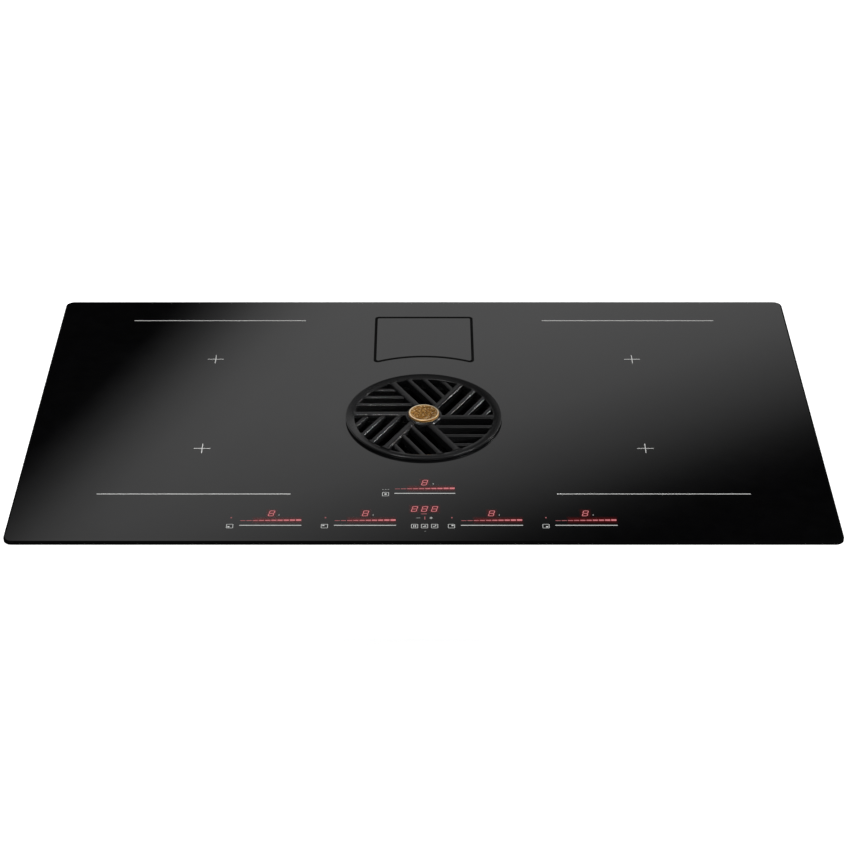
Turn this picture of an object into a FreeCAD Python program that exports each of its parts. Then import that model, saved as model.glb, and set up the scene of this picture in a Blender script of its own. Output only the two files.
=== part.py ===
import FreeCAD, Part
import Sketcher
import math
import os
import re

# A built-in induction cooktop with a downdraft extractor.  A black glass plate lies on the worktop.
# A round vent grille at its middle covers the extractor's inlet, with a weighing plate let into the
# glass behind it.  The electronics hang in a steel pan, and the extractor's duct and fan hang below.
#
# Origin: centre of the glass plate, on the worktop's surface.  +X right, +Y back, +Z up.

# Driving dimensions in millimetres, degrees and counts.
SIZES = {
    # glass plate and its foam seal
    "plate_width": 900,
    "plate_depth": 515,
    "plate_thickness": 4,
    "plate_corner": 10,
    "plate_edge": 0.6,
    "seal_thickness": 1,
    "seal_width": 10,
    "seal_inset": 2,
    # steel frame and pan, which the worktop's cut-out takes
    "side_overlap": 15,
    "end_overlap": 12.5,
    "cutout_clearance": 4,
    "frame_flange": 7,
    "frame_sheet": 1.5,
    "frame_drop": 10,
    "pan_height": 56,
    "pan_sheet": 1.2,
    "pan_fit": 0.3,
    "slot_length": 70,
    "slot_width": 5,
    "slot_pitch": 11,
    "slot_count": 8,
    "passage_gap": 7,
    # moulded inlet under the vent hole
    "vent_offset": 12.4,
    "inlet_bore": 83,
    "inlet_wall": 2,
    "inlet_flange": 11,
    "inlet_flange_thickness": 2.8,
    "inlet_neck": 81,
    "inlet_overrun": 6,
    "ledge_depth": 9.8,
    "neck_play": 0.5,
    # vent grille
    "grille_radius": 90.5,
    "grille_rise": 4,
    "ring_edge": 1.4,
    "ring_slope": 1.6,
    "skirt_radius": 82.6,
    "skirt_wall": 2,
    "skirt_depth": 7,
    "pad_thickness": 0.5,
    "pad_length": 8,
    "pad_width": 2.2,
    "pad_inset": 0.4,
    "pad_count": 6,
    "sector_count": 6,
    "sector_bars": 3,
    "bar_width": 5.2,
    "bar_start": 23.8,
    "bar_pitch": 17.3,
    "bar_drop": 0.8,
    "bar_step": 0.9,
    "bar_depth": 7.5,
    "bar_bevel": 0.6,
    "spoke_width": 7.4,
    "spoke_offset": 3.6,
    "spoke_drop": 0.4,
    "hub_radius": 21,
    "hub_rise": 0.6,
    # medallion on the hub
    "medal_radius": 17.7,
    "medal_thickness": 2.6,
    # grease filter
    "filter_rim_radius": 82.3,
    "filter_rim_height": 2,
    "filter_radius": 77,
    "filter_wall": 1.2,
    "filter_length": 92,
    "filter_band": 9,
    "filter_bar_width": 33,
    "filter_bar_count": 12,
    "handle_width": 14,
    "handle_thickness": 1.4,
    "handle_corner": 4.5,
    "handle_seat": 4,
    # weighing plate
    "scale_width": 121.4,
    "scale_margin": 38.3,
    "scale_arc": 134.8,
    "scale_corner": 5,
    "scale_seal_width": 3,
    "scale_seal_gap": 0.3,
    "scale_seal_proud": 0.3,
    "carrier_thickness": 3,
    "carrier_width": 92,
    "carrier_depth": 60,
    "carrier_boss": 16,
    "carrier_boss_height": 5,
    "scale_travel_gap": 0.6,
    "cell_length": 80,
    "cell_side": 12.7,
    "cell_slot": 4,
    "cell_slot_length": 36,
    "bracket_width": 20,
    "bracket_foot": 10,
    "bracket_sheet": 2.4,
    "bracket_half_depth": 16,
    # coils and their trays
    "tray_inner_gap": 41,
    "tray_outer_gap": 59,
    "tray_front_gap": 1.7,
    "tray_back_gap": 21.9,
    "tray_sheet": 1.5,
    "tray_hem": 6,
    "tray_hem_inset": 10,
    "coil_side_margin": 14,
    "coil_end_margin": 6.5,
    "coil_gap": 11,
    "coil_band": 62,
    "coil_thickness": 5,
    "coil_chamfer": 36,
    "mica_thickness": 1.5,
    "ferrite_thickness": 4,
    "ferrite_width": 14,
    "ferrite_length": 56,
    "ferrite_pitch": 62,
    "sensor_radius": 7,
    "sensor_sides": 8,
    "post_inset": 16,
    "post_radius": 8,
    "post_sides": 6,
    # power boards
    "board_side_margin": 10,
    "board_post_gap": 22,
    "board_thickness": 1.6,
    "standoff_height": 7,
    "standoff_radius": 3.5,
    "standoff_inset": 10,
    "sink_front_gap": 37.5,
    "sink_back_gap": 18.5,
    "sink_width": 44,
    "sink_base": 5,
    "sink_height": 24,
    "fin_thickness": 2,
    "fin_count": 7,
    "component_sides": 12,
    "capacitor_radius": 13,
    "capacitor_height": 26,
    "capacitor_gap": 13,
    "capacitor_pitch": 32,
    "choke_radius": 17,
    "choke_bore": 8,
    "choke_height": 14,
    "choke_gap": 10,
    "fan_side": 84,
    "fan_height": 22,
    "fan_wall": 2,
    "fan_bore": 39,
    "fan_bore_sides": 16,
    "fan_window": 13,
    "rotor_radius": 36,
    "rotor_hub": 15,
    "rotor_hub_sides": 14,
    "rotor_height": 15,
    "rotor_blades": 7,
    "rotor_blade_width": 1.6,
    "rotor_blade_root": 2,
    "rotor_blade_offset": 5,
    "rotor_gap": 2,
    "pin_radius": 2,
    "running_gap": 0.05,
    # supply
    "terminal_width": 70,
    "terminal_depth": 46,
    "terminal_height": 26,
    "terminal_wall": 2,
    "terminal_place": 92,
    "terminal_gap": 0.3,
    "gland_bore": 7,
    "gland_radius": 12,
    "gland_play": 0.2,
    "gland_nut": 16,
    "gland_dome": 14,
    "gland_nut_sides": 6,
    "gland_nut_length": 6,
    "gland_length": 20,
    # touch controls
    "touch_margin": 23.9,
    "touch_width": 470,
    "touch_depth": 56,
    "tongue_width": 84,
    "tongue_gap": 25.2,
    "guide_thickness": 3,
    # duct under the pan
    "duct_width": 330,
    "duct_front": 118,
    "duct_back": 238,
    "duct_gap": 3.5,
    "duct_wall": 2.5,
    "duct_corner": 22,
    "duct_upper_height": 95,
    "duct_lower_height": 52,
    "duct_flange": 7,
    "duct_rib_depth": 4,
    "duct_rib_width": 2.5,
    "duct_rib_run": 240,
    "duct_rib_count": 5,
    "mount_radius": 9,
    "mount_sides": 8,
    "rail_height": 4,
    "rail_depth": 8,
    "partition_wall": 2.5,
    "partition_gap": 0.3,
    "partition_place": 73,
    "mouth_radius": 47,
    "mouth_lip": 4,
    # fan in the duct
    "fan_place": 153,
    "bush_radius": 8,
    "bush_height": 5,
    "bush_circle": 38,
    "bracket_plate": 2,
    "bracket_radius": 54,
    "bracket_sides": 6,
    "motor_radius": 44,
    "motor_height": 30,
    "motor_gap": 2.5,
    "impeller_radius": 73,
    "impeller_eye": 50,
    "impeller_height": 46,
    "impeller_plate": 2,
    "impeller_hub": 14,
    "impeller_boss": 23,
    "blade_count": 9,
    "blade_inner": 36,
    "blade_arc": 52,
    "blade_thickness": 1.8,
    "blade_centre_side": 44,
    "blade_centre_front": 26,
    "shaft_radius": 4,
    "shaft_depth": 14,
    "shaft_end_gap": 0.3,
    # outlet to the flat duct
    "outlet_width": 222,
    "outlet_height": 89,
    "outlet_wall": 2,
    "outlet_length": 30,
    "outlet_flange": 8,
    "outlet_flange_thickness": 2,
    # drip tray
    "drip_width": 190,
    "drip_depth": 112,
    "drip_height": 24,
    "drip_wall": 2,
    "drip_flange": 10,
    "drip_chamfer": 10,
    "drip_gap": 0.5,
    "plug_radius": 12,
    "plug_sides": 8,
    "plug_shank": 7,
    "plug_shank_length": 4,
    "plug_head": 5,
    "plug_play": 0.08,
    # clips that hold the pan under the worktop
    "clip_width": 30,
    "clip_sheet": 2,
    "clip_reach": 28,
    "clip_height": 26,
    "clip_drop": 22,
    "clip_place": 150,
}

document = FreeCAD.newDocument("DowndraftCooktop")
sheet = document.addObject("Spreadsheet::Sheet", "Sizes")
for row, (alias, number) in enumerate(SIZES.items(), start=1):
    sheet.set(f"A{row}", alias)
    sheet.set(f"B{row}", str(number))
    sheet.setAlias(f"B{row}", alias)
document.recompute()

# Levels and places that several pieces share, as expressions of the sheet's sizes.
GLASS_UNDERSIDE = "seal_thickness"
GLASS_TOP = "(seal_thickness + plate_thickness)"
CUTOUT_WIDTH = "(plate_width - 2 * side_overlap)"
CUTOUT_DEPTH = "(plate_depth - 2 * end_overlap)"
FRAME_WIDTH = f"({CUTOUT_WIDTH} - 2 * cutout_clearance)"
FRAME_DEPTH = f"({CUTOUT_DEPTH} - 2 * cutout_clearance)"
PAN_WIDTH = f"({FRAME_WIDTH} - 2 * frame_sheet - 2 * pan_fit)"
PAN_DEPTH = f"({FRAME_DEPTH} - 2 * frame_sheet - 2 * pan_fit)"
PAN_TOP = "(seal_thickness - frame_sheet)"
PAN_BOTTOM = f"({PAN_TOP} - pan_height)"
PAN_FLOOR = f"({PAN_BOTTOM} + pan_sheet)"
VENT = "-vent_offset"
INLET_RADIUS = "(inlet_bore + inlet_wall)"
FLANGE_RADIUS = f"({INLET_RADIUS} + inlet_flange)"
LEDGE_TOP = f"({GLASS_UNDERSIDE} - ledge_depth)"
SCALE_BACK = "(plate_depth / 2 - scale_margin)"
TOUCH_FRONT = "(touch_margin - plate_depth / 2)"
TOUCH_BACK = f"({TOUCH_FRONT} + touch_depth)"
TRAY_INNER = f"({FLANGE_RADIUS} + tray_inner_gap)"
TRAY_OUTER = f"({PAN_WIDTH} / 2 - pan_sheet - tray_outer_gap)"
TRAY_FRONT = f"({TOUCH_BACK} + tray_front_gap)"
TRAY_BACK = f"({PAN_DEPTH} / 2 - pan_sheet - tray_back_gap)"
TRAY_WIDTH = f"({TRAY_OUTER} - {TRAY_INNER})"
TRAY_DEPTH = f"({TRAY_BACK} - {TRAY_FRONT})"
TRAY_UNDERSIDE = "(seal_thickness - mica_thickness - coil_thickness - ferrite_thickness - tray_sheet)"
ZONE_OFFSET = f"(({TRAY_OUTER} + {TRAY_INNER}) / 2)"
ZONE_MIDDLE = f"(({TRAY_BACK} + {TRAY_FRONT}) / 2)"
POST_ACROSS = f"({TRAY_WIDTH} / 2 - post_inset)"
POST_ALONG = f"({TRAY_DEPTH} / 2 - post_inset)"
BOARD_WIDTH = f"({TRAY_WIDTH} - 2 * board_side_margin)"
BOARD_DEPTH = f"(2 * ({POST_ALONG} - post_radius - board_post_gap))"
BOARD_UNDERSIDE = f"({PAN_FLOOR} + standoff_height)"
BOARD_TOP = f"({BOARD_UNDERSIDE} + board_thickness)"
COOLER_PLACE = f"({ZONE_MIDDLE} + {BOARD_DEPTH} / 2 - fan_side / 2 - standoff_inset)"
DUCT_TOP = f"({PAN_BOTTOM} - duct_gap)"
DUCT_JOIN = f"({DUCT_TOP} - duct_upper_height)"
DUCT_FLOOR = f"({DUCT_JOIN} - duct_lower_height)"
DUCT_MIDDLE = "((duct_back - duct_front) / 2)"
DUCT_DEPTH = "(duct_back + duct_front)"
SIDES = {"left": -1, "right": 1}

subparts = []
cuts = []


def size(alias):
    """The number in the sheet's cell of that alias."""
    return float(sheet.get(alias))


def linked(expression):
    """The expression with each size named as the sheet's own cell."""
    return re.sub(r"\b[a-z]+(?:_[a-z]+)+\b", r"Sizes.\g<0>", str(expression))


def value(expression):
    """The number that an expression of the sheet's sizes gives."""
    return float(sheet.evalExpression(linked(expression)))


def bind(item, **properties):
    """Ties an object's properties to expressions of the sheet's sizes."""
    for name, expression in properties.items():
        item.setExpression(name, linked(expression))


def place(item, x=0, y=0, z=0):
    """Ties an object's place to three expressions."""
    for axis, expression in zip("xyz", (x, y, z)):
        item.setExpression("Placement.Base." + axis, linked(expression))


def keep(item):
    """Lists an object as a finished sub-part of the cooktop."""
    subparts.append(item)
    return item


# Bodies, sketches and their features.


def new_body(label, x=0, y=0, z=0):
    """A body with its own frame at x, y, z."""
    body = document.addObject("PartDesign::Body", label)
    body.Label = label
    place(body, x, y, z)
    return keep(body)


def new_sketch(body, plane="XY_Plane", lift=0):
    """An empty sketch on one of the body's own planes, lifted along the plane's normal."""
    sketch = body.newObject("Sketcher::SketchObject", body.Name + "_sketch")
    datum = next(item for item in body.Origin.OriginFeatures if item.Role == plane)
    sketch.AttachmentSupport = [(datum, "")]
    sketch.MapMode = "FlatFace"
    sketch.setExpression("AttachmentOffset.Base.z", linked(lift))
    return sketch


def fix_point(sketch, geometry, corner, x, y):
    """Holds one point of a sketch at x, y from its origin."""
    for kind, expression in (("DistanceX", x), ("DistanceY", y)):
        index = sketch.addConstraint(Sketcher.Constraint(kind, -1, 1, geometry, corner, value(expression)))
        sketch.setExpression(f"Constraints[{index}]", linked(expression))


def add_polygon(sketch, corners):
    """A closed outline through corners given as pairs of expressions."""
    first = sketch.GeometryCount
    points = [FreeCAD.Vector(value(x), value(y), 0) for x, y in corners]
    for start, end in zip(points, points[1:] + points[:1]):
        sketch.addGeometry(Part.LineSegment(start, end))
    for index, (x, y) in enumerate(corners):
        follower = first + (index + 1) % len(corners)
        sketch.addConstraint(Sketcher.Constraint("Coincident", first + index, 2, follower, 1))
        fix_point(sketch, first + index, 1, x, y)


def add_rectangle(sketch, width, depth, x=0, y=0):
    """A rectangle about the point x, y."""
    low_x, high_x = f"{x} - ({width}) / 2", f"{x} + ({width}) / 2"
    low_y, high_y = f"{y} - ({depth}) / 2", f"{y} + ({depth}) / 2"
    add_polygon(sketch, [(low_x, low_y), (high_x, low_y), (high_x, high_y), (low_x, high_y)])


def add_circle(sketch, radius, x=0, y=0):
    """A circle about the point x, y."""
    centre = FreeCAD.Vector(value(x), value(y), 0)
    circle = sketch.addGeometry(Part.Circle(centre, FreeCAD.Vector(0, 0, 1), value(radius)))
    index = sketch.addConstraint(Sketcher.Constraint("Radius", circle, value(radius)))
    sketch.setExpression(f"Constraints[{index}]", linked(radius))
    fix_point(sketch, circle, 3, x, y)


def pad(body, sketch, length, down=False):
    """Material along the sketch's normal, or against it."""
    feature = body.newObject("PartDesign::Pad", body.Name + "_pad")
    feature.Profile = sketch
    feature.Reversed = down
    bind(feature, Length=length)
    return feature


def pocket(body, sketch, depth):
    """A cut that starts at the sketch and runs along its normal."""
    feature = body.newObject("PartDesign::Pocket", body.Name + "_pocket")
    feature.Profile = sketch
    feature.Reversed = True
    bind(feature, Length=depth)
    cuts.append(feature)
    return feature


def revolve(body, corners, plane="XZ_Plane"):
    """A ring turned about the upright axis from corners given as radius and height."""
    sketch = new_sketch(body, plane)
    add_polygon(sketch, corners)
    feature = body.newObject("PartDesign::Revolution", body.Name + "_turned")
    feature.Profile = sketch
    feature.ReferenceAxis = (sketch, ["V_Axis"])
    feature.Angle = 360
    return feature


def polar_pattern(body, originals, count):
    """The originals repeated round the upright axis."""
    feature = body.newObject("PartDesign::PolarPattern", body.Name + "_round")
    axis = next(item for item in body.Origin.OriginFeatures if item.Role == "Z_Axis")
    feature.Originals = originals
    feature.Axis = (axis, [""])
    feature.Angle = 360
    bind(feature, Occurrences=count)
    body.Tip = feature
    return feature


def row_pattern(body, originals, direction, length, count):
    """The originals repeated in a row along one of the body's axes."""
    feature = body.newObject("PartDesign::LinearPattern", body.Name + "_row")
    axis = next(item for item in body.Origin.OriginFeatures if item.Role == direction)
    feature.Originals = originals
    feature.Direction = (axis, [""])
    bind(feature, Length=length, Occurrences=count)
    body.Tip = feature
    return feature


def is_upright(edge):
    """True for a straight vertical edge."""
    straight = edge.Curve.TypeId == "Part::GeomLine"
    return straight and abs(edge.Vertexes[0].Point.z - edge.Vertexes[-1].Point.z) > 0.99 * edge.Length


def round_corners(body, radius, chosen=is_upright):
    """Fillets the chosen edges."""
    document.recompute()
    base = body.Tip
    names = [f"Edge{n}" for n, edge in enumerate(base.Shape.Edges, 1) if chosen(edge)]
    feature = body.newObject("PartDesign::Fillet", body.Name + "_fillet")
    feature.Base = (base, names)
    bind(feature, Radius=radius)
    return feature


def bevel(body, width, chosen):
    """Chamfers the chosen edges."""
    document.recompute()
    base = body.Tip
    names = [f"Edge{n}" for n, edge in enumerate(base.Shape.Edges, 1) if chosen(edge)]
    feature = body.newObject("PartDesign::Chamfer", body.Name + "_chamfer")
    feature.Base = (base, names)
    bind(feature, Size=width)
    return feature


def hollow(body, wall, ends=("ZMax",)):
    """Empties the body through its top face, its bottom face or both, and leaves a wall."""
    document.recompute()
    base = body.Tip
    levels = [getattr(base.Shape.BoundBox, end) for end in ends]
    names = []
    for number, face in enumerate(base.Shape.Faces, 1):
        box = face.BoundBox
        if box.ZLength < 0.001 and min(abs(box.ZMin - level) for level in levels) < 0.001:
            names.append(f"Face{number}")
    feature = body.newObject("PartDesign::Thickness", body.Name + "_shell")
    feature.Base = (base, names)
    feature.Reversed = True
    feature.Mode = 0
    feature.Join = 0
    bind(feature, Value=wall)
    return feature


def add_regular_polygon(sketch, sides, radius):
    """A regular polygon about the sketch's origin whose corners lie on the radius."""
    turns = [f"{number} * 360 / {sides}" for number in range(int(size(sides)))]
    add_polygon(sketch, [(f"{radius} * cos({turn})", f"{radius} * sin({turn})") for turn in turns])


# Primitives and groups of them.


def new_box(label, length, width, height, x, y, z):
    """A block about x, y that stands on z."""
    box = document.addObject("Part::Box", label)
    bind(box, Length=length, Width=width, Height=height)
    place(box, f"{x} - ({length}) / 2", f"{y} - ({width}) / 2", z)
    return box


def new_cylinder(label, radius, height, x, y, z, rotation=FreeCAD.Rotation()):
    """A cylinder whose foot is centred on x, y, z."""
    cylinder = document.addObject("Part::Cylinder", label)
    cylinder.Placement = FreeCAD.Placement(FreeCAD.Vector(), rotation)
    bind(cylinder, Radius=radius, Height=height)
    place(cylinder, x, y, z)
    return cylinder


def new_prism(label, sides, radius, height, x, y, z, rotation=FreeCAD.Rotation()):
    """A regular prism whose foot is centred on x, y, z and whose corners lie on the radius."""
    prism = document.addObject("Part::Prism", label)
    prism.Placement = FreeCAD.Placement(FreeCAD.Vector(), rotation)
    bind(prism, Polygon=sides, Circumradius=radius, Height=height)
    place(prism, x, y, z)
    return prism


def new_cut(label, base, tool):
    """The base less the tool."""
    cut = document.addObject("Part::Cut", label)
    cut.Base = base
    cut.Tool = tool
    return cut


def new_union(label, items):
    """One solid made of the items."""
    union = document.addObject("Part::MultiFuse", label)
    union.Shapes = items
    return union


def new_group(label, items):
    """Like pieces, each a solid of its own, as one sub-part."""
    group = document.addObject("Part::Compound", label)
    group.Label = label
    group.Links = items
    return keep(group)


TOWARDS_BACK = FreeCAD.Rotation(FreeCAD.Vector(1, 0, 0), -90)

# Glass plate: ceramic glass with a polished edge, a round hole for the vent and an aperture for the
# weighing plate, whose front edge is an arc about the vent.


def add_scale_outline(sketch, inset):
    """The weighing plate's outline, drawn in from the aperture's edge."""
    half = value(f"scale_width / 2 - ({inset})")
    back = value(f"{SCALE_BACK} - ({inset})")
    radius = value(f"scale_arc + ({inset})")
    centre = FreeCAD.Vector(0, value(VENT), 0)
    angle = math.acos(half / radius)
    front = centre.y + radius * math.sin(angle)
    places = ((-half, front), (-half, back), (half, back), (half, front))
    corners = [FreeCAD.Vector(*point, 0) for point in places]
    first = sketch.GeometryCount
    for start, end in zip(corners, corners[1:]):
        sketch.addGeometry(Part.LineSegment(start, end))
    circle = Part.Circle(centre, FreeCAD.Vector(0, 0, 1), radius)
    arc = sketch.addGeometry(Part.ArcOfCircle(circle, angle, math.pi - angle))
    for line in (first, first + 1):
        sketch.addConstraint(Sketcher.Constraint("Coincident", line, 2, line + 1, 1))
    sketch.addConstraint(Sketcher.Constraint("Coincident", arc, 1, first + 2, 2))
    sketch.addConstraint(Sketcher.Constraint("Coincident", arc, 2, first, 1))
    sketch.addConstraint(Sketcher.Constraint("Vertical", first))
    sketch.addConstraint(Sketcher.Constraint("Vertical", first + 2))
    half_width = f"(scale_width / 2 - ({inset}))"
    back_edge = f"{SCALE_BACK} - ({inset})"
    fix_point(sketch, first + 1, 1, f"-{half_width}", back_edge)
    fix_point(sketch, first + 1, 2, half_width, back_edge)
    fix_point(sketch, arc, 3, 0, VENT)
    index = sketch.addConstraint(Sketcher.Constraint("Radius", arc, radius))
    sketch.setExpression(f"Constraints[{index}]", linked(f"scale_arc + ({inset})"))


APERTURE_LIMIT = f"({SCALE_BACK} + scale_corner)"


def in_aperture(edge):
    """True for an upright edge of the weighing plate's aperture."""
    point = edge.CenterOfMass
    return is_upright(edge) and abs(point.x) < size("scale_width") and 0 < point.y < value(APERTURE_LIMIT)


glass_top = new_body("glass_top", z=GLASS_UNDERSIDE)
outline = new_sketch(glass_top)
add_rectangle(outline, "plate_width", "plate_depth")
pad(glass_top, outline, "plate_thickness")
round_corners(glass_top, "plate_corner")
bevel(glass_top, "plate_edge", lambda edge: edge.BoundBox.ZMin > size("plate_thickness") - 0.001)
vent_hole = new_sketch(glass_top)
add_circle(vent_hole, "inlet_bore", 0, VENT)
pocket(glass_top, vent_hole, "plate_thickness")
aperture = new_sketch(glass_top)
add_scale_outline(aperture, 0)
pocket(glass_top, aperture, "plate_thickness")
round_corners(glass_top, "scale_corner", in_aperture)

# Foam seal: a flat strip under the plate's rim, on which the plate lies.
worktop_seal = new_body("worktop_seal")
strip = new_sketch(worktop_seal)
SEAL_WIDTH = "(plate_width - 2 * seal_inset)"
SEAL_DEPTH = "(plate_depth - 2 * seal_inset)"
add_rectangle(strip, SEAL_WIDTH, SEAL_DEPTH)
add_rectangle(strip, f"{SEAL_WIDTH} - 2 * seal_width", f"{SEAL_DEPTH} - 2 * seal_width")
pad(worktop_seal, strip, "seal_thickness")
round_corners(worktop_seal, "plate_corner - seal_inset")

# Support frame: a folded steel angle bonded under the glass, which carries the pan.
support_frame = new_body("support_frame", z=PAN_TOP)
flange = new_sketch(support_frame)
add_rectangle(flange, FRAME_WIDTH, FRAME_DEPTH)
add_rectangle(flange, f"{FRAME_WIDTH} - 2 * frame_flange", f"{FRAME_DEPTH} - 2 * frame_flange")
pad(support_frame, flange, "frame_sheet")
rim = new_sketch(support_frame)
add_rectangle(rim, FRAME_WIDTH, FRAME_DEPTH)
add_rectangle(rim, f"{FRAME_WIDTH} - 2 * frame_sheet", f"{FRAME_DEPTH} - 2 * frame_sheet")
pad(support_frame, rim, "frame_drop", down=True)

# Chassis pan: four folded steel sides, the back one with a hole for the cable gland, round a floor with a
# round passage for the inlet and air slots under the two blowers.
INNER_WIDTH = f"({PAN_WIDTH} - 2 * pan_sheet)"
INNER_DEPTH = f"({PAN_DEPTH} - 2 * pan_sheet)"
GLAND_HEIGHT = "(pan_height / 2)"
pan_sides = []
for side_label, side in SIDES.items():
    side_place = f"{side} * ({PAN_WIDTH} - pan_sheet) / 2"
    side_wall = new_box(f"pan_{side_label}", "pan_sheet", INNER_DEPTH, "pan_height", side_place, 0, PAN_BOTTOM)
    pan_sides.append(side_wall)
END_PLACE = f"({PAN_DEPTH} - pan_sheet) / 2"
pan_sides.append(new_box("pan_front", PAN_WIDTH, "pan_sheet", "pan_height", 0, f"-{END_PLACE}", PAN_BOTTOM))
pan_back = new_box("pan_back", PAN_WIDTH, "pan_sheet", "pan_height", 0, END_PLACE, PAN_BOTTOM)
gland_hole = new_cylinder("gland_hole", "gland_radius + gland_play", "3 * pan_sheet", "terminal_place",
                          f"{END_PLACE} - 3 * pan_sheet / 2", f"{PAN_BOTTOM} + {GLAND_HEIGHT}", TOWARDS_BACK)
pan_sides.append(new_cut("pan_back_side", pan_back, gland_hole))
new_group("pan_walls", pan_sides)

chassis_pan = new_body("chassis_pan", z=PAN_BOTTOM)
blank = new_sketch(chassis_pan)
add_rectangle(blank, INNER_WIDTH, INNER_DEPTH)
pad(chassis_pan, blank, "pan_sheet")
passage = new_sketch(chassis_pan)
add_circle(passage, f"{INLET_RADIUS} + passage_gap", 0, VENT)
pocket(chassis_pan, passage, "pan_sheet")
SLOT_RUN = "(slot_pitch * (slot_count - 1))"
for side in SIDES.values():
    slot = new_sketch(chassis_pan)
    slot_start = f"{COOLER_PLACE} - {SLOT_RUN} / 2"
    add_rectangle(slot, "slot_length", "slot_width", f"{side} * {ZONE_OFFSET}", slot_start)
    first_slot = pocket(chassis_pan, slot, "pan_sheet")
    row_pattern(chassis_pan, [first_slot], "Y_Axis", SLOT_RUN, "slot_count")

# Inlet: one moulding bonded under the glass.  The grille's skirt stands in its bore, the ledge below it
# carries the grease filter, and its neck enters the duct.
inlet_funnel = new_body("inlet_funnel", y=VENT, z=GLASS_UNDERSIDE)
INLET_LENGTH = f"({GLASS_UNDERSIDE} - {DUCT_TOP} + duct_wall + inlet_overrun)"
revolve(inlet_funnel, [
    ("inlet_bore", "0"),
    (FLANGE_RADIUS, "0"),
    (FLANGE_RADIUS, "-inlet_flange_thickness"),
    (INLET_RADIUS, "-inlet_flange_thickness"),
    (INLET_RADIUS, f"-{INLET_LENGTH}"),
    ("inlet_neck", f"-{INLET_LENGTH}"),
    ("inlet_neck", "-ledge_depth"),
    ("inlet_bore", "-ledge_depth"),
])

# Vent grille: one casting.  A crowned ring, six spokes and, in each of the six sectors, bars that run
# parallel to one spoke and end on the next, so that the pattern turns like a wheel.  The spokes stand
# beside their rays, all on the same side, and each bar lies a little lower than the one before it.
GRILLE_FOOT = f"({GLASS_TOP} + pad_thickness)"
RING_TOP = "(grille_rise - pad_thickness)"
vent_grille = new_body("vent_grille", y=VENT, z=GRILLE_FOOT)
TRIM_RADIUS = "(skirt_radius - skirt_wall / 2)"
NEXT_RAY = "tan(360 / sector_count)"


def add_bar(offset, width, drop, start):
    """A bar parallel to the X axis on its clockwise side, with bevelled top edges."""
    section = new_sketch(vent_grille, "YZ_Plane", start)
    top = f"({RING_TOP} - {drop})"
    near, far = f"(-({offset}) + {width} / 2)", f"(-({offset}) - {width} / 2)"
    add_polygon(section, [
        (far, f"{top} - bar_depth"),
        (near, f"{top} - bar_depth"),
        (near, f"{top} - bar_bevel"),
        (f"{near} - bar_bevel", top),
        (f"{far} + bar_bevel", top),
        (far, f"{top} - bar_bevel"),
    ])
    return pad(vent_grille, section, f"skirt_radius - ({start})")


hub = new_sketch(vent_grille, lift=f"{RING_TOP} - spoke_drop - bar_depth")
add_circle(hub, "hub_radius")
pad(vent_grille, hub, "bar_depth + spoke_drop + hub_rise")
sector = [add_bar("spoke_offset", "spoke_width", "spoke_drop", 0)]
for bar in range(int(size("sector_bars"))):
    bar_offset = f"bar_start + {bar} * bar_pitch"
    bar_drop = f"(bar_drop + {bar} * bar_step)"
    sector.append(add_bar(bar_offset, "bar_width", bar_drop, f"({bar_offset}) / {NEXT_RAY}"))
polar_pattern(vent_grille, sector, "sector_count")
surround = new_sketch(vent_grille, lift=f"{RING_TOP} - bar_drop - 2 * bar_depth")
add_circle(surround, "2 * grille_radius")
add_circle(surround, TRIM_RADIUS)
pocket(vent_grille, surround, "4 * bar_depth")
revolve(vent_grille, [
    ("skirt_radius - skirt_wall", f"{RING_TOP} - ring_slope"),
    ("grille_radius - ring_edge", f"{RING_TOP}"),
    ("grille_radius", f"{RING_TOP} - ring_edge"),
    ("grille_radius", "0"),
    ("skirt_radius", "0"),
    ("skirt_radius", "-skirt_depth"),
    ("skirt_radius - skirt_wall", "-skirt_depth"),
])

# Rubber pads between the grille's rim and the glass.
grille_pads = new_body("grille_pads", y=VENT, z=GLASS_TOP)
pad_outline = new_sketch(grille_pads)
add_rectangle(pad_outline, "pad_width", "pad_length", "grille_radius - pad_inset - pad_width / 2", 0)
polar_pattern(grille_pads, [pad(grille_pads, pad_outline, "pad_thickness")], "pad_count")

# Medallion: a brass disc on the grille's hub.
HUB_TOP = f"({GRILLE_FOOT} + {RING_TOP} + hub_rise)"
grille_medallion = new_body("grille_medallion", y=VENT, z=HUB_TOP)
disc = new_sketch(grille_medallion)
add_circle(disc, "medal_radius")
pad(grille_medallion, disc, "medal_thickness")

# Grease filter: a steel cage of upright bars between a rim, which lies on the inlet's ledge, and a floor.
# A strap across its mouth lifts it out.
CUP_BORE = "(filter_radius - filter_wall)"
filter_rim = new_body("filter_rim", y=VENT, z=LEDGE_TOP)
revolve(filter_rim, [
    ("filter_radius", "-filter_band"),
    ("filter_radius", "0"),
    ("filter_rim_radius", "0"),
    ("filter_rim_radius", "filter_rim_height"),
    (CUP_BORE, "filter_rim_height"),
    (CUP_BORE, "-filter_band"),
])
filter_basket = new_body("filter_basket", y=VENT, z=f"{LEDGE_TOP} - filter_length + filter_wall")
cage_bar = new_sketch(filter_basket)
add_rectangle(cage_bar, "filter_wall", "filter_bar_width", CUP_BORE, 0)
first_cage_bar = pad(filter_basket, cage_bar, "filter_length - filter_wall - filter_band")
polar_pattern(filter_basket, [first_cage_bar], "filter_bar_count")
keep(new_cylinder("filter_floor", "filter_radius + filter_wall", "filter_wall", 0, VENT,
                  f"{LEDGE_TOP} - filter_length"))
filter_handle = new_body("filter_handle", y=VENT, z=f"{LEDGE_TOP} + filter_rim_height")
strap = new_sketch(filter_handle)
add_rectangle(strap, f"2 * ({CUP_BORE} + handle_seat)", "handle_width")
pad(filter_handle, strap, "handle_thickness")
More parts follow.
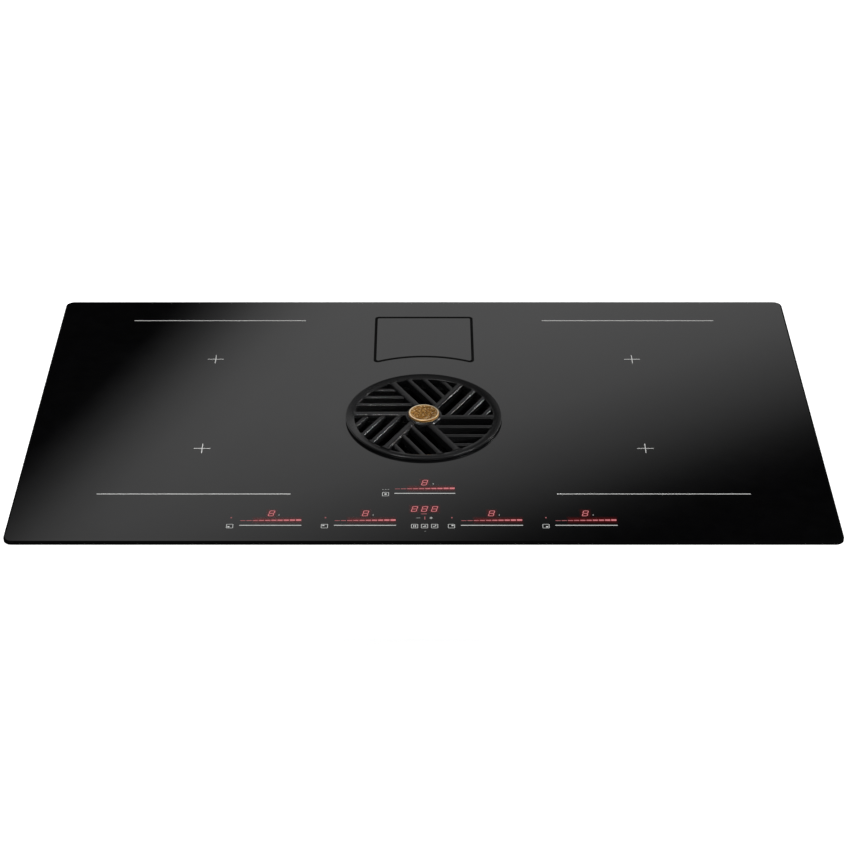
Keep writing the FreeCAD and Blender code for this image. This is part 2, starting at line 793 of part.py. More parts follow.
bevel(filter_handle, "handle_corner", is_upright)

# Weighing plate: the same glass, in a seal that lies flush in the aperture.  It stands on a carrier
# over the free end of a bar load cell.
SCALE_INSET = "(scale_seal_width + scale_seal_gap)"
scale_plate = new_body("scale_plate", z=GLASS_UNDERSIDE)
plate_outline = new_sketch(scale_plate)
add_scale_outline(plate_outline, SCALE_INSET)
pad(scale_plate, plate_outline, "plate_thickness")
round_corners(scale_plate, "scale_corner / 2")

scale_seal = new_body("scale_seal", z=GLASS_UNDERSIDE)
seal_outline = new_sketch(scale_seal)
add_scale_outline(seal_outline, 0)
pad(scale_seal, seal_outline, "plate_thickness + scale_seal_proud")
round_corners(scale_seal, "scale_corner")
seal_inside = new_sketch(scale_seal)
add_scale_outline(seal_inside, "scale_seal_width")
pocket(scale_seal, seal_inside, "plate_thickness + scale_seal_proud")

SCALE_MIDDLE = f"(({SCALE_BACK} + scale_arc - vent_offset) / 2)"
CARRIER_FOOT = f"({GLASS_UNDERSIDE} - carrier_thickness)"
CELL_TOP = f"({CARRIER_FOOT} - carrier_boss_height - scale_travel_gap)"
CELL_FOOT = f"({CELL_TOP} - cell_side)"
scale_carrier = new_body("scale_carrier", y=SCALE_MIDDLE, z=CARRIER_FOOT)
spider = new_sketch(scale_carrier)
add_rectangle(spider, "carrier_width", "carrier_depth")
pad(scale_carrier, spider, "carrier_thickness")
boss = new_sketch(scale_carrier)
add_rectangle(boss, "carrier_boss", "cell_side", "(carrier_boss - cell_length) / 2", 0)
pad(scale_carrier, boss, "carrier_boss_height", down=True)

load_cell = new_body("load_cell", y=SCALE_MIDDLE, z=CELL_FOOT)
bar_blank = new_sketch(load_cell)
add_rectangle(bar_blank, "cell_length", "cell_side")
pad(load_cell, bar_blank, "cell_side")
flexure = new_sketch(load_cell, "XZ_Plane", "-cell_side")
add_rectangle(flexure, "cell_slot_length", "cell_slot", 0, "cell_side / 2")
pocket(load_cell, flexure, "2 * cell_side")

BRACKET_PLACE = "(cell_length - bracket_width) / 2"
scale_bracket = new_body("scale_bracket", x=BRACKET_PLACE, y=SCALE_MIDDLE, z=PAN_FLOOR)
pedestal = new_sketch(scale_bracket, "XZ_Plane", "-bracket_half_depth")
half_bracket = "bracket_width / 2"
half_foot = "(bracket_width / 2 + bracket_foot)"
bracket_rise = f"({CELL_FOOT} - {PAN_FLOOR})"
add_polygon(pedestal, [
    (f"-{half_foot}", "0"),
    (half_foot, "0"),
    (half_foot, "bracket_sheet"),
    (half_bracket, "bracket_sheet"),
    (half_bracket, bracket_rise),
    (f"-{half_bracket}", bracket_rise),
    (f"-{half_bracket}", "bracket_sheet"),
    (f"-{half_foot}", "bracket_sheet"),
])
pad(scale_bracket, pedestal, "2 * bracket_half_depth")

# Coils: on each side two wound coils lie on a sheet-metal tray that posts press up to the glass, with
# a mica sheet above and ferrite bars below.
COIL_WIDTH = f"({TRAY_WIDTH} - 2 * coil_side_margin)"
COIL_DEPTH = f"(({TRAY_DEPTH} - 2 * coil_end_margin - coil_gap) / 2)"
MICA_UNDERSIDE = f"({GLASS_UNDERSIDE} - mica_thickness)"
COIL_UNDERSIDE = f"({MICA_UNDERSIDE} - coil_thickness)"
FERRITE_UNDERSIDE = f"({COIL_UNDERSIDE} - ferrite_thickness)"
induction_coils = new_body("induction_coils", y=ZONE_MIDDLE, z=COIL_UNDERSIDE)
windings = new_sketch(induction_coils)
bores = new_sketch(induction_coils)
posts = []
ferrites = []
sensors = []
for side_name, side in SIDES.items():
    middle = f"{side} * {ZONE_OFFSET}"
    mica = new_body(f"mica_sheet_{side_name}", x=middle, y=ZONE_MIDDLE, z=MICA_UNDERSIDE)
    mica_outline = new_sketch(mica)
    add_rectangle(mica_outline, TRAY_WIDTH, TRAY_DEPTH)
    pad(mica, mica_outline, "mica_thickness")

    tray = new_body(f"coil_tray_{side_name}", x=middle, y=ZONE_MIDDLE, z=TRAY_UNDERSIDE)
    tray_outline = new_sketch(tray)
    add_rectangle(tray_outline, TRAY_WIDTH, TRAY_DEPTH)
    pad(tray, tray_outline, "tray_sheet")
    hem = new_sketch(tray)
    for edge in (-1, 1):
        hem_place = f"{edge} * ({TRAY_WIDTH} - tray_sheet) / 2"
        add_rectangle(hem, "tray_sheet", f"{TRAY_DEPTH} - 2 * tray_hem_inset", hem_place, 0)
    pad(tray, hem, "tray_hem", down=True)

    for end in (-1, 1):
        coil_place = f"{end} * ({COIL_DEPTH} + coil_gap) / 2"
        coil_y = f"({ZONE_MIDDLE} + {coil_place})"
        add_rectangle(windings, COIL_WIDTH, COIL_DEPTH, middle, coil_place)
        add_rectangle(bores, f"{COIL_WIDTH} - 2 * coil_band", f"{COIL_DEPTH} - 2 * coil_band",
                      middle, coil_place)
        for column in (-1, 0, 1):
            for row in (-1, 1):
                bar_x = f"{middle} + {column} * ferrite_pitch"
                bar_y = f"{coil_y} + {row} * ({COIL_DEPTH} - ferrite_length) / 2"
                name = f"ferrite_{len(ferrites) + 1}"
                ferrites.append(new_box(name, "ferrite_width", "ferrite_length", "ferrite_thickness",
                                        bar_x, bar_y, FERRITE_UNDERSIDE))
        name = f"sensor_{len(sensors) + 1}"
        sensors.append(new_prism(name, "sensor_sides", "sensor_radius", "ferrite_thickness + coil_thickness",
                                 middle, coil_y, FERRITE_UNDERSIDE))

    for corner_x in (-1, 1):
        for corner_y in (-1, 1):
            name = f"post_{len(posts) + 1}"
            post_x = f"{middle} + {corner_x} * {POST_ACROSS}"
            post_y = f"{ZONE_MIDDLE} + {corner_y} * {POST_ALONG}"
            posts.append(new_prism(name, "post_sides", "post_radius", f"{TRAY_UNDERSIDE} - {PAN_FLOOR}",
                                   post_x, post_y, PAN_FLOOR))
pad(induction_coils, windings, "coil_thickness")
bevel(induction_coils, "coil_chamfer", is_upright)
pocket(induction_coils, bores, "coil_thickness")
new_group("ferrite_bars", ferrites)
new_group("temperature_sensors", sensors)
new_group("tray_posts", posts)

# Power electronics: on each side a board on hexagonal standoffs, with a finned heat sink, capacitors, a
# choke and a blower over the pan's slots.
SINK_FRONT = f"({ZONE_MIDDLE} - {BOARD_DEPTH} / 2 + sink_front_gap)"
SINK_BACK = f"({COOLER_PLACE} - fan_side / 2 - sink_back_gap)"
SINK_LENGTH = f"({SINK_BACK} - {SINK_FRONT})"
SINK_MIDDLE = f"(({SINK_BACK} + {SINK_FRONT}) / 2)"
standoffs = []
capacitors = []
chokes = []
for side_name, side in SIDES.items():
    middle = f"{side} * {ZONE_OFFSET}"
    board = new_body(f"power_board_{side_name}", x=middle, y=ZONE_MIDDLE, z=BOARD_UNDERSIDE)
    board_outline = new_sketch(board)
    add_rectangle(board_outline, BOARD_WIDTH, BOARD_DEPTH)
    pad(board, board_outline, "board_thickness")
    air_hole = new_sketch(board)
    add_rectangle(air_hole, "3 * rotor_hub", "3 * rotor_hub", 0, f"{COOLER_PLACE} - {ZONE_MIDDLE}")
    pocket(board, air_hole, "board_thickness")

    for corner_x in (-1, 1):
        for corner_y in (-1, 1):
            name = f"standoff_{len(standoffs) + 1}"
            post_x = f"{middle} + {corner_x} * ({BOARD_WIDTH} / 2 - standoff_inset)"
            post_y = f"{ZONE_MIDDLE} + {corner_y} * ({BOARD_DEPTH} / 2 - standoff_inset)"
            standoffs.append(new_prism(name, "post_sides", "standoff_radius", "standoff_height",
                                       post_x, post_y, PAN_FLOOR))

    sink = new_body(f"heat_sink_{side_name}", x=middle, y=SINK_MIDDLE, z=BOARD_TOP)
    sink_foot = new_sketch(sink)
    add_rectangle(sink_foot, "sink_width", SINK_LENGTH)
    pad(sink, sink_foot, "sink_base")
    fin = new_sketch(sink, lift="sink_base")
    add_rectangle(fin, "fin_thickness", SINK_LENGTH, "-(sink_width - fin_thickness) / 2", 0)
    first_fin = pad(sink, fin, "sink_height - sink_base")
    row_pattern(sink, [first_fin], "X_Axis", "sink_width - fin_thickness", "fin_count")

    for row in (-1, 1):
        name = f"capacitor_{len(capacitors) + 1}"
        can_x = f"{middle} + sink_width / 2 + capacitor_gap + capacitor_radius"
        can_y = f"{SINK_MIDDLE} + {row} * capacitor_pitch / 2"
        capacitors.append(new_prism(name, "component_sides", "capacitor_radius", "capacitor_height",
                                    can_x, can_y, BOARD_TOP))
    name = f"choke_{len(chokes) + 1}"
    choke_x = f"{middle} - sink_width / 2 - choke_gap - choke_radius"
    ring = new_prism(name + "_ring", "component_sides", "choke_radius", "choke_height",
                     choke_x, SINK_MIDDLE, BOARD_TOP)
    core = new_prism(name + "_core", "component_sides", "choke_bore", "choke_height",
                     choke_x, SINK_MIDDLE, BOARD_TOP)
    chokes.append(new_cut(name, ring, core))

    blower = new_body(f"cooling_fan_frame_{side_name}", x=middle, y=COOLER_PLACE, z=BOARD_TOP)
    frame_outline = new_sketch(blower)
    add_rectangle(frame_outline, "fan_side", "fan_side")
    pad(blower, frame_outline, "fan_height")
    chamber = new_sketch(blower, lift="fan_wall")
    add_regular_polygon(chamber, "fan_bore_sides", "fan_bore")
    pocket(blower, chamber, "fan_height - fan_wall")
    windows = new_sketch(blower)
    for across, along in ((1, 0), (0, 1), (-1, 0), (0, -1)):
        add_rectangle(windows, "fan_window", "fan_window", f"{across} * rotor_hub", f"{along} * rotor_hub")
    pocket(blower, windows, "fan_wall")
    outlet = new_sketch(blower, "XZ_Plane")
    add_rectangle(outlet, "fan_bore", "fan_height - 2 * fan_wall", 0, "fan_height / 2 + fan_wall")
    pocket(blower, outlet, "fan_side")
    pin = new_sketch(blower)
    add_circle(pin, "pin_radius")
    pad(blower, pin, "fan_height - fan_wall")

    rotor_foot = f"{BOARD_TOP} + fan_wall + rotor_gap"
    rotor = new_body(f"cooling_rotor_{side_name}", x=middle, y=COOLER_PLACE, z=rotor_foot)
    rotor_hub = new_sketch(rotor)
    add_regular_polygon(rotor_hub, "rotor_hub_sides", "rotor_hub")
    add_circle(rotor_hub, "pin_radius + running_gap")
    pad(rotor, rotor_hub, "rotor_height")
    vane = new_sketch(rotor)
    vane_length = "(rotor_radius - rotor_hub + rotor_blade_root)"
    vane_place = f"rotor_radius - {vane_length} / 2"
    add_rectangle(vane, vane_length, "rotor_blade_width", vane_place, "rotor_blade_offset")
    polar_pattern(rotor, [pad(rotor, vane, "rotor_height")], "rotor_blades")
new_group("board_standoffs", standoffs)
new_group("capacitors", capacitors)
new_group("chokes", chokes)

# Supply: a terminal box on the pan's floor at the back, with its cover, and the gland through the wall.
GLAND_START = f"({PAN_DEPTH} / 2 - pan_sheet - gland_nut_length)"
TERMINAL_Y = f"({GLAND_START} - terminal_gap - terminal_depth / 2)"
terminal_box = new_body("terminal_box", x="terminal_place", y=TERMINAL_Y, z=PAN_FLOOR)
box_outline = new_sketch(terminal_box)
add_rectangle(box_outline, "terminal_width", "terminal_depth")
pad(terminal_box, box_outline, "terminal_height")
hollow(terminal_box, "terminal_wall")
TERMINAL_TOP = f"({PAN_FLOOR} + terminal_height)"
terminal_cover = new_body("terminal_cover", x="terminal_place", y=TERMINAL_Y, z=TERMINAL_TOP)
lid = new_sketch(terminal_cover)
add_rectangle(lid, "terminal_width", "terminal_depth")
pad(terminal_cover, lid, "terminal_wall")

GLAND_LEVEL = f"{PAN_BOTTOM} + {GLAND_HEIGHT}"
PAN_BACK = f"({PAN_DEPTH} / 2)"
GLAND_RUN = "(gland_nut_length + pan_sheet)"
gland_pipe = new_cylinder("gland_pipe", "gland_radius", GLAND_RUN,
                          "terminal_place", GLAND_START, GLAND_LEVEL, TOWARDS_BACK)
gland_nut = new_prism("gland_nut", "gland_nut_sides", "gland_nut", "gland_nut_length",
                      "terminal_place", PAN_BACK, GLAND_LEVEL, TOWARDS_BACK)
gland_dome = new_prism("gland_dome", "gland_nut_sides", "gland_dome", "gland_length",
                       "terminal_place", PAN_BACK, GLAND_LEVEL, TOWARDS_BACK)
gland_bore = new_cylinder("gland_bore", "gland_bore", f"{GLAND_RUN} + gland_length",
                          "terminal_place", GLAND_START, GLAND_LEVEL, TOWARDS_BACK)
cable_gland = new_cut("cable_gland", new_union("gland_body", [gland_pipe, gland_nut, gland_dome]), gland_bore)
keep(cable_gland)

# Touch controls: a T-shaped light guide against the glass, and the sensor board under it.
half_touch = "touch_width / 2"
half_tongue = "tongue_width / 2"
tongue_back = f"(-vent_offset - {FLANGE_RADIUS} - tongue_gap - {TOUCH_FRONT})"
T_SHAPE = [
    (f"-{half_touch}", "0"),
    (half_touch, "0"),
    (half_touch, "touch_depth"),
    (half_tongue, "touch_depth"),
    (half_tongue, tongue_back),
    (f"-{half_tongue}", tongue_back),
    (f"-{half_tongue}", "touch_depth"),
    (f"-{half_touch}", "touch_depth"),
]
for label, thickness, drop in (
    ("light_guide", "guide_thickness", "guide_thickness"),
    ("touch_board", "board_thickness", "guide_thickness + board_thickness"),
):
    layer = new_body(label, y=TOUCH_FRONT, z=f"{GLASS_UNDERSIDE} - ({drop})")
    layer_outline = new_sketch(layer)
    add_polygon(layer_outline, T_SHAPE)
    pad(layer, layer_outline, thickness)


# Duct: two moulded shells under the pan, with flanges where they meet and ribs on their sides.  The
# upper one takes the inlet's neck in its roof and has the outlet in its back wall.  The lower one has
# the drip tray's opening in its floor.
def add_duct_shell(label, height, foot, open_end, flange_foot, rib_foot):
    """A shell that is open towards the other, with a flange and ribs on its two long sides."""
    shell = new_body(label, y=DUCT_MIDDLE, z=foot)
    shell_outline = new_sketch(shell)
    add_rectangle(shell_outline, "duct_width", DUCT_DEPTH)
    pad(shell, shell_outline, height)
    round_corners(shell, "duct_corner")
    hollow(shell, "duct_wall", (open_end,))
    flange = new_sketch(shell, lift=flange_foot)
    ribs = new_sketch(shell, lift=rib_foot)
    for edge in (-1, 1):
        flange_x = f"{edge} * (duct_width + duct_flange - duct_wall) / 2"
        add_rectangle(flange, "duct_flange + duct_wall", f"{DUCT_DEPTH} - 2 * duct_corner", flange_x, 0)
        rib_x = f"{edge} * (duct_width + duct_rib_depth) / 2"
        add_rectangle(ribs, "duct_rib_depth", "duct_rib_width", rib_x, "-duct_rib_run / 2")
    pad(shell, flange, "duct_wall")
    first_ribs = pad(shell, ribs, f"{height} - duct_wall")
    row_pattern(shell, [first_ribs], "Y_Axis", "duct_rib_run", "duct_rib_count")
    return shell


duct_upper = add_duct_shell("duct_upper", "duct_upper_height", DUCT_JOIN, "ZMin", 0, 0)
neck_hole = new_sketch(duct_upper, lift="duct_upper_height - duct_wall")
add_circle(neck_hole, f"{INLET_RADIUS} + neck_play", 0, f"{VENT} - {DUCT_MIDDLE}")
pocket(duct_upper, neck_hole, "duct_wall")
OUTLET_HEIGHT = "(duct_upper_height / 2)"
OUTLET_INSIDE = ("outlet_width - 2 * outlet_wall", "outlet_height - 2 * outlet_wall")
outlet_hole = new_sketch(duct_upper, "XZ_Plane", f"-{DUCT_DEPTH} / 2 - duct_wall")
add_rectangle(outlet_hole, *OUTLET_INSIDE, 0, OUTLET_HEIGHT)
pocket(duct_upper, outlet_hole, "3 * duct_wall")

duct_lower = add_duct_shell("duct_lower", "duct_lower_height", DUCT_FLOOR, "ZMax",
                            "duct_lower_height - duct_wall", "duct_wall")
drip_opening = new_sketch(duct_lower)
add_rectangle(drip_opening, "drip_width + 2 * drip_gap", "drip_depth + 2 * drip_gap",
              0, f"{VENT} - {DUCT_MIDDLE}")
pocket(duct_lower, drip_opening, "duct_wall")
rails = new_sketch(duct_lower, lift="duct_lower_height - partition_wall - rail_height")
RAIL_FRONT = f"(partition_place - {DUCT_MIDDLE})"
RAIL_BACK = f"({DUCT_DEPTH} / 2 - duct_corner)"
for edge in (-1, 1):
    rail_x = f"{edge} * (duct_width / 2 - duct_wall - rail_depth / 2)"
    add_rectangle(rails, "rail_depth", f"{RAIL_BACK} - {RAIL_FRONT}",
                  rail_x, f"({RAIL_BACK} + {RAIL_FRONT}) / 2")
pad(duct_lower, rails, "rail_height")

mounts = []
for corner_x in (-1, 1):
    for corner_y in (-1, 0, 1):
        name = f"duct_mount_{len(mounts) + 1}"
        mount_x = f"{corner_x} * (duct_width / 2 - duct_corner)"
        mount_y = f"{DUCT_MIDDLE} + {corner_y} * ({DUCT_DEPTH} / 2 - duct_corner)"
        mounts.append(new_prism(name, "mount_sides", "mount_radius", "duct_gap", mount_x, mount_y, DUCT_TOP))
new_group("duct_mounts", mounts)

# Fan partition: it parts the suction side from the pressure side, with a round mouth under the fan.
fan_partition = new_body("fan_partition", z=DUCT_JOIN)
INSIDE_WIDTH = "(duct_width - 2 * duct_wall - 2 * partition_gap)"
SHELF_BACK = "(duct_back - duct_wall - partition_gap)"
shelf = new_sketch(fan_partition)
SHELF_MIDDLE = f"({SHELF_BACK} + partition_place) / 2"
add_rectangle(shelf, INSIDE_WIDTH, f"{SHELF_BACK} - partition_place", 0, SHELF_MIDDLE)
pad(fan_partition, shelf, "partition_wall", down=True)


def at_back(edge):
    """True for an upright edge of the shelf's back corners."""
    return is_upright(edge) and edge.CenterOfMass.y > size("fan_place")


round_corners(fan_partition, "duct_corner - duct_wall", at_back)
wall = new_sketch(fan_partition)
add_rectangle(wall, INSIDE_WIDTH, "partition_wall", 0, "partition_place + partition_wall / 2")
pad(fan_partition, wall, "duct_upper_height - duct_wall - partition_gap")
lip = new_sketch(fan_partition)
add_circle(lip, "mouth_radius + partition_wall", 0, "fan_place")
pad(fan_partition, lip, "mouth_lip")
mouth = new_sketch(fan_partition, lift="-partition_wall")
add_circle(mouth, "mouth_radius", 0, "fan_place")
pocket(fan_partition, mouth, "partition_wall + mouth_lip")

# Fan: an electric motor hangs from the duct's roof on rubber bushes.  Its shaft carries a radial
# impeller, whose backward-curved blades are riveted between a back plate with a hub and a shroud.
ROOF = f"({DUCT_TOP} - duct_wall)"
bushes = []
for number in range(3):
    angle = f"(120 * {number} + 90)"
    bush_x = f"bush_circle * cos({angle})"
    bush_y = f"fan_place + bush_circle * sin({angle})"
    bushes.append(new_prism(f"bush_{number + 1}", "mount_sides", "bush_radius", "bush_height",
                            bush_x, bush_y, f"{ROOF} - bush_height"))
new_group("motor_bushes", bushes)
BRACKET_FOOT = f"({ROOF} - bush_height - bracket_plate)"
motor_bracket = new_prism("motor_bracket", "bracket_sides", "bracket_radius", "bracket_plate",
                          0, "fan_place", BRACKET_FOOT)
keep(motor_bracket)
MOTOR_FOOT = f"({BRACKET_FOOT} - motor_height)"
fan_motor = new_body("fan_motor", y="fan_place", z=MOTOR_FOOT)
shaft_bore = "shaft_radius + running_gap"
bore_end = "shaft_depth + shaft_end_gap"
revolve(fan_motor, [
    (shaft_bore, "0"),
    ("motor_radius", "0"),
    ("motor_radius", "motor_height"),
    ("0", "motor_height"),
    ("0", bore_end),
    (shaft_bore, bore_end),
])
IMPELLER_TOP = f"({MOTOR_FOOT} - motor_gap)"
IMPELLER_FOOT = f"({IMPELLER_TOP} - impeller_height)"


def add_blade(body):
    """One blade's section: two arcs about one centre, between the inner and the outer circle."""
    section = new_sketch(body)
    centre = FreeCAD.Vector(size("blade_centre_side"), size("blade_centre_front"), 0)
    reach = centre.Length
    bearing = math.atan2(centre.y, centre.x)
    inner = size("blade_inner")
    outer = size("impeller_radius")
    arc = size("blade_arc")
    thickness = size("blade_thickness")
    circles = []
    for radius, expression in ((inner, "blade_inner"), (outer, "impeller_radius")):
        circle = section.addGeometry(Part.Circle(FreeCAD.Vector(), FreeCAD.Vector(0, 0, 1), radius), True)
        section.addConstraint(Sketcher.Constraint("Coincident", circle, 3, -1, 1))
        index = section.addConstraint(Sketcher.Constraint("Radius", circle, radius))
        section.setExpression(f"Constraints[{index}]", linked(expression))
        circles.append(circle)
    arcs = []
    ends = []
    for radius, expression in ((arc, "blade_arc"), (arc + thickness, "blade_arc + blade_thickness")):
        points = []
        for limit in (outer, inner):
            half = math.acos((reach ** 2 + limit ** 2 - radius ** 2) / (2 * reach * limit))
            points.append(FreeCAD.Vector(math.cos(bearing + half), math.sin(bearing + half), 0) * limit)
        angles = [math.atan2(point.y - centre.y, point.x - centre.x) for point in points]
        if angles[1] < angles[0]:
            angles[1] += 2 * math.pi
        whole = Part.Circle(centre, FreeCAD.Vector(0, 0, 1), radius)
        curve = section.addGeometry(Part.ArcOfCircle(whole, angles[0], angles[1]))
        index = section.addConstraint(Sketcher.Constraint("Radius", curve, radius))
        section.setExpression(f"Constraints[{index}]", linked(expression))
        section.addConstraint(Sketcher.Constraint("PointOnObject", curve, 1, circles[1]))
        section.addConstraint(Sketcher.Constraint("PointOnObject", curve, 2, circles[0]))
        arcs.append(curve)
        ends.append(points)
    fix_point(section, arcs[0], 3, "blade_centre_side", "blade_centre_front")
    section.addConstraint(Sketcher.Constraint("Coincident", arcs[0], 3, arcs[1], 3))
    for corner in (0, 1):
        line = section.addGeometry(Part.LineSegment(ends[0][corner], ends[1][corner]))
        section.addConstraint(Sketcher.Constraint("Coincident", line, 1, arcs[0], corner + 1))
        section.addConstraint(Sketcher.Constraint("Coincident", line, 2, arcs[1], corner + 1))
    return section


impeller = new_body("impeller", y="fan_place", z=IMPELLER_FOOT)
back_plate = new_sketch(impeller, lift="impeller_height - impeller_plate")
add_circle(back_plate, "impeller_radius")
add_circle(back_plate, "shaft_radius")
pad(impeller, back_plate, "impeller_plate")
impeller_boss = new_sketch(impeller, lift="impeller_height - impeller_boss")
add_circle(impeller_boss, "impeller_hub")
add_circle(impeller_boss, "shaft_radius")
pad(impeller, impeller_boss, "impeller_boss")

impeller_blades = new_body("impeller_blades", y="fan_place", z=f"{IMPELLER_FOOT} + impeller_plate")
first_blade = pad(impeller_blades, add_blade(impeller_blades), "impeller_height - 2 * impeller_plate")
polar_pattern(impeller_blades, [first_blade], "blade_count")

impeller_shroud = new_body("impeller_shroud", y="fan_place", z=IMPELLER_FOOT)
shroud = new_sketch(impeller_shroud)
add_circle(shroud, "impeller_radius")
add_circle(shroud, "impeller_eye")
pad(impeller_shroud, shroud, "impeller_plate")

fan_shaft = new_cylinder("fan_shaft", "shaft_radius", "impeller_boss + motor_gap + shaft_depth",
                         0, "fan_place", f"{IMPELLER_TOP} - impeller_boss")
keep(fan_shaft)

# Outlet spigot: a rectangular socket with a flange on the duct's back wall, for a flat duct.
outlet_spigot = new_body("outlet_spigot", y="duct_back", z=f"{DUCT_JOIN} + {OUTLET_HEIGHT}")
spigot_flange = new_sketch(outlet_spigot, "XZ_Plane", "-outlet_flange_thickness")
add_rectangle(spigot_flange, "outlet_width + 2 * outlet_flange", "outlet_height")
pad(outlet_spigot, spigot_flange, "outlet_flange_thickness")
spigot_tube = new_sketch(outlet_spigot, "XZ_Plane", "-outlet_flange_thickness - outlet_length")
add_rectangle(spigot_tube, "outlet_width", "outlet_height")
pad(outlet_spigot, spigot_tube, "outlet_length")
spigot_bore = new_sketch(outlet_spigot, "XZ_Plane", "-outlet_flange_thickness - outlet_length")
add_rectangle(spigot_bore, *OUTLET_INSIDE)
pocket(outlet_spigot, spigot_bore, "outlet_flange_thickness + outlet_length")

# Drip tray: a moulded cup that closes the opening under the filter, with a drain plug in its floor.
drip_tray = new_body("drip_tray", y=VENT, z=f"{DUCT_FLOOR} - drip_height")
cup = new_sketch(drip_tray)
add_rectangle(cup, "drip_width", "drip_depth")
pad(drip_tray, cup, "drip_height + duct_wall")
bevel(drip_tray, "drip_chamfer", is_upright)
hollow(drip_tray, "drip_wall")
tray_flange = new_sketch(drip_tray, lift="drip_height - drip_wall")
add_rectangle(tray_flange, "drip_width + 2 * drip_flange", "drip_depth + 2 * drip_flange")
add_rectangle(tray_flange, "drip_width - drip_wall", "drip_depth - drip_wall")
pad(drip_tray, tray_flange, "drip_wall")
drain = new_sketch(drip_tray)
add_circle(drain, "plug_shank + plug_play")
pocket(drip_tray, drain, "drip_wall")
drain_plug = new_body("drain_plug", y=VENT, z=f"{DUCT_FLOOR} - drip_height - plug_head")
plug_shank = new_sketch(drain_plug, lift="plug_head")
add_circle(plug_shank, "plug_shank")
pad(drain_plug, plug_shank, "plug_shank_length")
plug_knob = new_sketch(drain_plug)
add_regular_polygon(plug_knob, "plug_sides", "plug_radius")
pad(drain_plug, plug_knob, "plug_head")

# Worktop clips: sheet-metal angles on the pan's ends that reach under the worktop.
clips = []
for side in SIDES.values():
    for along in (-1, 1):
        name = f"clip_{len(clips) + 1}"
        clip_y = f"{along} * clip_place"
        leaf_x = f"{side} * ({PAN_WIDTH} + clip_sheet) / 2"
        leaf = new_box(name + "_leaf", "clip_sheet", "clip_width", "clip_height", leaf_x, clip_y,
                       f"{PAN_TOP} - clip_drop - clip_height")
        arm_x = f"{side} * ({PAN_WIDTH} + clip_reach) / 2"
        arm = new_box(name + "_arm", "clip_reach", "clip_width", "clip_sheet", arm_x, clip_y,
                      f"{PAN_TOP} - clip_drop - clip_sheet")
        clips.append(new_union(name, [leaf, arm]))
new_group("worktop_clips", clips)

document.recompute()

# Each feature has to be sound, and each cut has to remove something, before any file is written.
for item in document.Objects:
    if "Invalid" in item.State or "Error" in item.State:
        raise RuntimeError(f"{item.Label} failed: {item.State}")
for feature in cuts:
    if feature.BaseFeature.Shape.Volume - feature.Shape.Volume < 0.01:
        raise RuntimeError(f"{feature.Label} removes nothing")
for subpart in subparts:
    if subpart.Shape.isNull() or not subpart.Shape.isValid():
        raise RuntimeError(f"{subpart.Label} has no valid shape")

os.makedirs("parts", exist_ok=True)
for subpart in subparts:
    subpart.Shape.exportStep(f"parts/{subpart.Label}.step")
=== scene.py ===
import bmesh
import bpy
import math
from mathutils import Euler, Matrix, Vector, noise


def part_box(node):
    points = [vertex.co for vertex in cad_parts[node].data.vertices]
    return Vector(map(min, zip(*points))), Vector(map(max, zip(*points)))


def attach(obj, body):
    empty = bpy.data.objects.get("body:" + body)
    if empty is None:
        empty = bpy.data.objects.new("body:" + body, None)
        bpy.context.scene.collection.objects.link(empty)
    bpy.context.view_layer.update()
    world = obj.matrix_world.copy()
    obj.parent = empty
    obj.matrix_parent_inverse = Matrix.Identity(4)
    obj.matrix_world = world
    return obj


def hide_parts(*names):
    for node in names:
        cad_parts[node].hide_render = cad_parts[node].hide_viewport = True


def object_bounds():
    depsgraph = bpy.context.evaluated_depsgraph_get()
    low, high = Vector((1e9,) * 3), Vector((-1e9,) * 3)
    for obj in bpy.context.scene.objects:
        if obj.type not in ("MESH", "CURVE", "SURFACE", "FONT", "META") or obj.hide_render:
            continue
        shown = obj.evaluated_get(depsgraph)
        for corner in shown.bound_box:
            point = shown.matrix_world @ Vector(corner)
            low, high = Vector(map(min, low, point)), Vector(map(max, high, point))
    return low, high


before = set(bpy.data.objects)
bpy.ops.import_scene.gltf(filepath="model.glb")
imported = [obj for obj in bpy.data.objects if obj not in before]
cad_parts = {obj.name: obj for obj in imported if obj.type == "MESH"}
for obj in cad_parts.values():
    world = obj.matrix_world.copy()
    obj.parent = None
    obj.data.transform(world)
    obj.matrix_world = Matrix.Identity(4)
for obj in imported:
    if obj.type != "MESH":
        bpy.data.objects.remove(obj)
cad_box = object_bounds()

mm = 0.001

# ---------------------------------------------------------------------------------------------
# Studio: the cooktop lies in a white worktop over a white floor.  The worktop and the floor glow
# towards the camera and still take a soft shadow.  The camera stands where a standing cook looks down.
# ---------------------------------------------------------------------------------------------

camera_place = Vector((0.0014, -2.1664, 1.3912))
camera_pitch = math.radians(32.96)
camera_data = bpy.data.cameras.new("studio_camera")
camera_data.sensor_width = 36
camera_data.lens = 93.56
camera = bpy.data.objects.new("studio_camera", camera_data)
camera.location = camera_place
camera.rotation_euler = Euler((math.pi / 2 - camera_pitch, 0, 0))
bpy.context.scene.collection.objects.link(camera)
bpy.context.scene.camera = camera
bpy.context.scene.view_settings.view_transform = "Standard"


def open_material(name):
    """A new material with its nodes, its links and its Principled shader."""
    material = bpy.data.materials.new(name)
    material.use_nodes = True
    nodes = material.node_tree.nodes
    return material, nodes, material.node_tree.links, nodes["Principled BSDF"]


